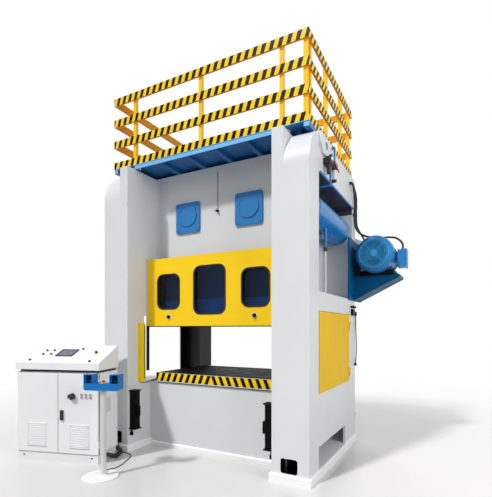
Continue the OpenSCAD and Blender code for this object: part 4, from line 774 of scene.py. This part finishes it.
desk = {
    "corner": (-2.069, -1.905, 0), "turn": 17.0,  # front left corner of the plinth
    "slopeFoot": 1.235, "slope": 23.84,  # height of the slope at its front edge, and its tilt
}
deskPlace = Matrix.Translation(desk["corner"]) @ Matrix.Rotation(math.radians(desk["turn"]), 4, "Z")
slopeTilt = math.radians(desk["slope"])
vent = {"wide": 0.262, "high": 0.272, "rim": 0.014, "rimProud": 0.006, "backIn": 0.012, "slatIn": 0.016, "slats": 9,
        "ledge": 0.012, "ledgeOut": 0.01, "face": -0.0003, "slatBack": -0.0022, "slatFront": -0.0048,
        "spots": [("Left", 0.289, 0.340, "cabinet_door_left"), ("Right", 0.879, 0.334, "cabinet_door_right")]}
for side, x, z, body in vent["spots"]:
    halfWide, halfHigh = vent["wide"] / 2, vent["high"] / 2
    rim = roundFrame((x, vent["face"], z), vent["wide"], vent["high"], 0.01, vent["rim"], vent["rimProud"], 0.0015)
    back = blockAt((x - halfWide + vent["backIn"], vent["slatBack"], z - halfHigh + vent["backIn"]),
                   (x + halfWide - vent["backIn"], vent["face"], z + halfHigh - vent["backIn"]), 0.0004)
    inner = vent["high"] - 2 * vent["rim"]
    pitch = inner / vent["slats"]
    slat = blockAt((x - halfWide + vent["slatIn"], vent["slatFront"], z - inner / 2 + 0.003),
                   (x + halfWide - vent["slatIn"], vent["slatBack"], z - inner / 2 + pitch - 0.005), 0.0015)
    slats = [slat] + [twinOf(slat, (0, 0, k * pitch)) for k in range(1, vent["slats"])]
    ledge = blockAt((x - halfWide - vent["ledgeOut"], -vent["ledge"], z - halfHigh - 0.012),
                    (x + halfWide + vent["ledgeOut"], vent["face"], z - halfHigh - 0.006), 0.0012)
    settle([rim, back, ledge] + slats, "doorVent" + side, body, deskPaint, deskPlace)


def onSlope(x, y):  # a spot on the console's slope, with Z out of it
    height = desk["slopeFoot"] + y * math.tan(slopeTilt)
    return deskPlace @ Matrix.Translation((x, y, height)) @ Matrix.Rotation(slopeTilt, 4, "X")


buttons = {
    "spots": [(0.155, 0.040), (0.236, 0.183), (0.222, 0.277), (0.351, 0.186), (0.332, 0.280), (0.717, 0.327),
              (0.997, 0.030)],
    "flange": 0.0162, "flangeHigh": 0.0055, "cap": 0.0125, "high": 0.0175,
}
caps = []
for x, y in buttons["spots"]:
    cap = turnedShape([(0.0, buttons["high"]), (0.008, buttons["high"]), (0.0115, buttons["high"] - 0.001),
                       (buttons["cap"], buttons["high"] - 0.003), (buttons["cap"], buttons["flangeHigh"]),
                       (buttons["flange"], buttons["flangeHigh"]), (buttons["flange"], 0.0005)], (0, 0, 0), 24)
    cap.data.transform(onSlope(x, y))
    caps.append(cap)
settle(caps, "deskButtons", "frame", blackPlastic)
deskStop = {
    "spot": (0.964, 0.231),
    "collar": [(0.013, 0.0005), (0.013, 0.0042), (0.026, 0.0042), (0.028, 0.0025), (0.028, 0.0005),
               (0.013, 0.0005)],
}
collar = turnedShape(deskStop["collar"], (0, 0, 0), 32)
settle([collar], "deskStopCollar", "frame", yellowPlastic, onSlope(*deskStop["spot"]))
sockets = {"x": 0.910, "z": 0.810, "across": 0.06, "up": 0.034, "outer": 0.0150, "hole": 0.0085, "core": 0.0082}
moves = [(sockets["across"] * i, 0, sockets["up"] * k) for i in range(3) for k in range(2)][1:]
socketRing = ringAt((sockets["x"], -0.0081, sockets["z"]), sockets["outer"], sockets["hole"], 0.002, 24)
socketCore = discAt((sockets["x"], -0.0086, sockets["z"]), sockets["core"], 0.0008, "Y", 0.0002, 20, 1)
for first, name in ((socketRing, "socketRings"), (socketCore, "socketCores")):
    settle([twinOf(first, move) for move in moves] + [first], name, "cabinet_door_right", greyPlastic,
           deskPlace)
grip = {"low": (0.744, -0.0465, 0.799), "high": (0.828, -0.0125, 0.841)}
wings = blockAt(grip["low"], grip["high"], 0.005, 3)
settle([wings], "mainSwitchGrip", "main_switch", blackPlastic, deskPlace)
gap = {"edge": 0.583, "wide": 0.0045, "deep": 0.0009, "spans": ((0.125, 0.550), (0.618, 1.100))}
gaskets = [blockAt((gap["edge"], -gap["deep"], low), (gap["edge"] + gap["wide"], 0.0, high), 0.0003, 1)
           for low, high in gap["spans"]]  # two lengths, with room for the turned handle
settle(gaskets, "doorGasket", "cabinet_door_right", rubber, deskPlace)
screw = {"x": (0.100, 1.044), "y": 0.0045, "z": 0.070, "radius": 0.0105, "deep": 0.003}
screws = [discAt((x, screw["y"], screw["z"]), screw["radius"], screw["deep"], "Y", 0.0008, 16, 1)
          for x in screw["x"]]
settle(screws, "plinthScrews", "frame", blackPlastic, deskPlace)
bezel = {"spot": (0.555, 0.224), "wide": 0.240, "high": 0.184, "rim": 0.014, "proud": 0.010, "lift": 0.0005}
screenRim = roundFrame((0, 0, 0), bezel["wide"], bezel["high"], 0.006, bezel["rim"], bezel["proud"], 0.0015)
screenRim.data.transform(onSlope(*bezel["spot"]) @ Matrix.Translation((0, 0, bezel["lift"]))
                         @ Matrix.Rotation(-quarter, 4, "X"))
settle([screenRim], "screenBezel", "frame", blackPlastic)
coverPlate = {"low": (1.1403, 0.150, 0.600), "high": (1.1435, 0.262, 0.785)}
sidePlate = blockAt(coverPlate["low"], coverPlate["high"], 0.001)
settle([sidePlate], "deskSidePlate", "frame", seamPaint, deskPlace)
print("desk fitted out")

stand = {
    "post": (-0.626, -1.817, 0), "turn": 20.0, "top": 1.0455,
    "collar": [(0.013, 0.0), (0.013, 0.0045), (0.029, 0.0045), (0.032, 0.002), (0.032, 0.0), (0.013, 0.0)],
}
standPlace = Matrix.Translation(stand["post"]) @ Matrix.Rotation(math.radians(stand["turn"]), 4, "Z")
standCollar = turnedShape(stand["collar"], (0, 0, stand["top"]), 32)
settle([standCollar], "standStopCollar", "frame", yellowPlastic, standPlace)
print("stand fitted out")

fan = {"x": 1.832, "z": 2.680, "front": 0.620, "rim": 0.192, "rimWide": 0.010, "wire": 0.0034, "rings": 10,
       "hub": 0.046, "spokeHalf": 0.003, "spokes": (45, 135)}
wires = []
for k in range(fan["rings"]):
    radius = fan["hub"] + 0.006 + (fan["rim"] - fan["hub"] - 0.008) * k / (fan["rings"] - 1)
    wires.append(torusAt((fan["x"], fan["front"] - 0.0025, fan["z"]), radius, fan["wire"], 64, 6))
rimOuter = fan["rim"] + 0.006
fanRim = ringAt((fan["x"], fan["front"] - 0.0003, fan["z"]), rimOuter, rimOuter - fan["rimWide"], 0.005, 64)
hub = discAt((fan["x"], fan["front"] - 0.004, fan["z"]), fan["hub"], 0.008, "Y", 0.003, 40, 3)
spokes = []
for turn in fan["spokes"]:
    spoke = blockAt((-fan["rim"], -0.0045, -fan["spokeHalf"]), (fan["rim"], -0.0005, fan["spokeHalf"]), 0.001)
    spoke.data.transform(Matrix.Translation((fan["x"], fan["front"], fan["z"]))
                         @ Matrix.Rotation(math.radians(turn), 4, "Y"))
    spokes.append(spoke)
settle(wires + spokes + [fanRim, hub], "fanGrille", "frame", litGrillePaint)
motor = {
    "baseLow": (1.60, 0.835, 2.4105), "baseHigh": (2.06, 1.27, 2.474),
    "screwX": (2.116, 2.200), "screwY": (0.875, 1.035), "screwZ": 2.7505, "screwRadius": 0.006, "screwHigh": 0.004,
    "eye": (1.70, 0.985, 2.904), "eyeRadius": 0.034, "eyeWire": 0.010,
    "hoseRadius": 0.014,
    "hoseStart": [(1491, 762, 3718), (1514, 762, 3718), (1534, 788, 3660)],
    "hoseEnd": [(1616, 962, 2990), (1650, 982, 2902), (1660, 985, 2832)],  # the last point is inside the motor
}
# black block under the motor, its black a painted shadow in the gap below the motor
shadedMotorBase = blockAt(motor["baseLow"], motor["baseHigh"], 0.004)
settle([shadedMotorBase], "shadedMotorBase", "frame", blackPaint)
boxScrews = [discAt((x, y, motor["screwZ"]), motor["screwRadius"], motor["screwHigh"], "Z", 0.001, 12, 1)
             for x in motor["screwX"] for y in motor["screwY"]]
settle(boxScrews, "terminalScrews", "frame", steel)
eye = torusAt(motor["eye"], motor["eyeRadius"], motor["eyeWire"], 28, 10, "X")
settle([eye], "motorEye", "frame", motorPaint, sharp=60)
# the second hose runs beside the conduit's upright part
beside = [(x + 20, y + 24, z) for x, y, z in cables["conduitRoute"][4:9]]
motorHose = ribbedTube("motorHose", routeLine(motor["hoseStart"] + beside + motor["hoseEnd"], cables["conduitGap"]),
                       motor["hoseRadius"], 14)
settle([motorHose], "motorHose", "frame", navySheath, sharp=60)
print("motor fitted out")

air = {
    "bowlFoot": (1.552, -0.297, 3.402),
    "bowl": [(0.0, 0.0), (0.014, 0.002), (0.024, 0.010), (0.0292, 0.024), (0.0292, 0.105), (0.0315, 0.108),
             (0.0315, 0.126), (0.026, 0.1275)],
    "gaugeSpot": (1.582, -0.526, 3.575),
    "gauge": [(0.0, 0.020), (0.019, 0.020), (0.022, 0.017), (0.022, 0.002), (0.012, 0.0)],
}
settle([turnedShape(air["bowl"], air["bowlFoot"])], "filterBowl", "frame", whitePlastic)
gauge = turnedShape(air["gauge"], (0, 0, 0))
gauge.data.transform(Matrix.Translation(air["gaugeSpot"]) @ Matrix.Rotation(quarter, 4, "Y"))
settle([gauge], "regulatorGauge", "frame", whitePlastic)
print("air unit fitted out")

tank = {"x": 1.285, "z": 3.050, "weldRadius": 0.1915, "weldWire": 0.004, "weldY": (-0.593, 0.905)}
beads = [torusAt((tank["x"], y, tank["z"]), tank["weldRadius"], tank["weldWire"], 72, 6) for y in tank["weldY"]]
settle(beads, "tankWelds", "frame", tankPaint, sharp=60)
drain = {"x": 1.400, "y": -0.158, "foot": 2.076, "joint": 2.610, "stubFoot": 2.640, "top": 2.892,
         "pipeRadius": 0.0105, "stubRadius": 0.017, "valveRadius": 0.024, "tapRadius": 0.009}


def drainLength(low, high, radius, edge, sides):  # an upright length of the drain
    return discAt((drain["x"], drain["y"], (low + high) / 2), radius, high - low, "Z", edge, sides, 1)


drainPipe = drainLength(drain["foot"], drain["joint"], drain["pipeRadius"], 0.001, 20)
settle([drainPipe], "drainPipe", "frame", whitePlastic)
drainStub = drainLength(drain["stubFoot"], drain["top"], drain["stubRadius"], 0.002, 24)
settle([drainStub], "drainStub", "frame", tankPaint)
drainJoint = drainLength(drain["joint"] - 0.004, drain["joint"] + 0.048, drain["valveRadius"], 0.004, 6)
tapSpot = (drain["x"], drain["y"] - 0.045, drain["joint"] + 0.026)
drainTap = discAt(tapSpot, drain["tapRadius"], 0.060, "Y", 0.002, 16, 1)
settle([drainJoint, drainTap], "drainValve", "frame", blackPlastic)
print("tank fitted out")

studio = {
    "floorColour": tone(216, 216, 214),
    "floorSize": 60.0,
    "fadeStart": 3.6,  # distance from the press at which the floor starts to fade to white
    "fadeEnd": 9.0,
    "bounce": 0.45,  # what the floor gives back of the light, for soft shade below the platform
    "ambientLow": 0.40, "ambientHigh": 0.48,  # light of the surroundings at the horizon and overhead
    "keyTravel": (0.38, 1.0, -1.22), "keyStrength": 2.35, "keyAngle": 5.0,
    "keyPlace": (-3.0, -8.0, 11.0),
    "fillPlace": (9.0, -3.5, 4.0), "fillSize": 5.0, "fillPower": 400.0,
    "rearPlace": (-6.0, 10.5, 5.0), "rearSize": 6.0, "rearPower": 560.0,
}
clearSelection()
bpy.ops.mesh.primitive_plane_add(size=studio["floorSize"], location=(0, 0, 0))
floor = bpy.context.object
floor.name = "floor"
floorMaterial = bpy.data.materials.new("paleFloor")
floorMaterial.use_nodes = True
tree = floorMaterial.node_tree
tree.nodes.clear()
result = tree.nodes.new("ShaderNodeOutputMaterial")
pale = tree.nodes.new("ShaderNodeBsdfPrincipled")
pale.inputs["Roughness"].default_value = 0.22
white = tree.nodes.new("ShaderNodeEmission")
white.inputs["Color"].default_value = (1, 1, 1, 1)
distance = tree.nodes.new("ShaderNodeVectorMath")
distance.operation = "LENGTH"
tree.links.new(place3d(tree), distance.inputs[0])
away = remap(tree, distance.outputs["Value"], studio["fadeStart"], studio["fadeEnd"], 0.0, 1.0)
path = tree.nodes.new("ShaderNodeLightPath")
seen = calc(tree, "MAXIMUM", path.outputs["Is Camera Ray"], path.outputs["Is Glossy Ray"])
tree.links.new(blendColours(tree, seen, shaded(studio["floorColour"], studio["bounce"]), studio["floorColour"]),
               pale.inputs["Base Color"])
mixed = tree.nodes.new("ShaderNodeMixShader")
tree.links.new(calc(tree, "MULTIPLY", away, seen), mixed.inputs[0])
tree.links.new(pale.outputs[0], mixed.inputs[1])
tree.links.new(white.outputs[0], mixed.inputs[2])
tree.links.new(mixed.outputs[0], result.inputs[0])
floor.data.materials.append(floorMaterial)

world = bpy.data.worlds.new("studio")
world.use_nodes = True
bpy.context.scene.world = world
tree = world.node_tree
tree.nodes.clear()
result = tree.nodes.new("ShaderNodeOutputWorld")
backdrop = tree.nodes.new("ShaderNodeBackground")
path = tree.nodes.new("ShaderNodeLightPath")
seen = calc(tree, "MAXIMUM", path.outputs["Is Camera Ray"],
            calc(tree, "MAXIMUM", path.outputs["Is Glossy Ray"], path.outputs["Is Transmission Ray"]))
skyward = tree.nodes.new("ShaderNodeSeparateXYZ")
tree.links.new(tree.nodes.new("ShaderNodeTexCoord").outputs["Generated"], skyward.inputs[0])
dome = remap(tree, skyward.outputs[2], 0.0, 0.9, studio["ambientLow"], studio["ambientHigh"])
strength = tree.nodes.new("ShaderNodeMix")
tree.links.new(seen, strength.inputs["Factor"])
tree.links.new(dome, strength.inputs["A"])
strength.inputs["B"].default_value = 1.0
tree.links.new(strength.outputs["Result"], backdrop.inputs["Strength"])
backdrop.inputs["Color"].default_value = (1, 1, 1, 1)
tree.links.new(backdrop.outputs[0], result.inputs[0])
bpy.context.scene.view_settings.view_transform = "Standard"


def softLamp(name, place, size, power, aim=(0, 0, 2.0)):
    data = bpy.data.lights.new(name, "AREA")
    data.size = size
    data.energy = power
    lamp = bpy.data.objects.new(name, data)
    bpy.context.scene.collection.objects.link(lamp)
    lamp.location = place
    lamp.rotation_euler = (Vector(aim) - Vector(place)).to_track_quat("-Z", "Y").to_euler()


keyData = bpy.data.lights.new("keyLamp", "SUN")
keyData.energy = studio["keyStrength"]
keyData.angle = math.radians(studio["keyAngle"])
keyLamp = bpy.data.objects.new("keyLamp", keyData)
bpy.context.scene.collection.objects.link(keyLamp)
keyLamp.location = studio["keyPlace"]
keyLamp.rotation_euler = Vector(studio["keyTravel"]).to_track_quat("-Z", "Y").to_euler()
softLamp("fillLamp", studio["fillPlace"], studio["fillSize"], studio["fillPower"])
softLamp("rearLamp", studio["rearPlace"], studio["rearSize"], studio["rearPower"])
print("studio lit")
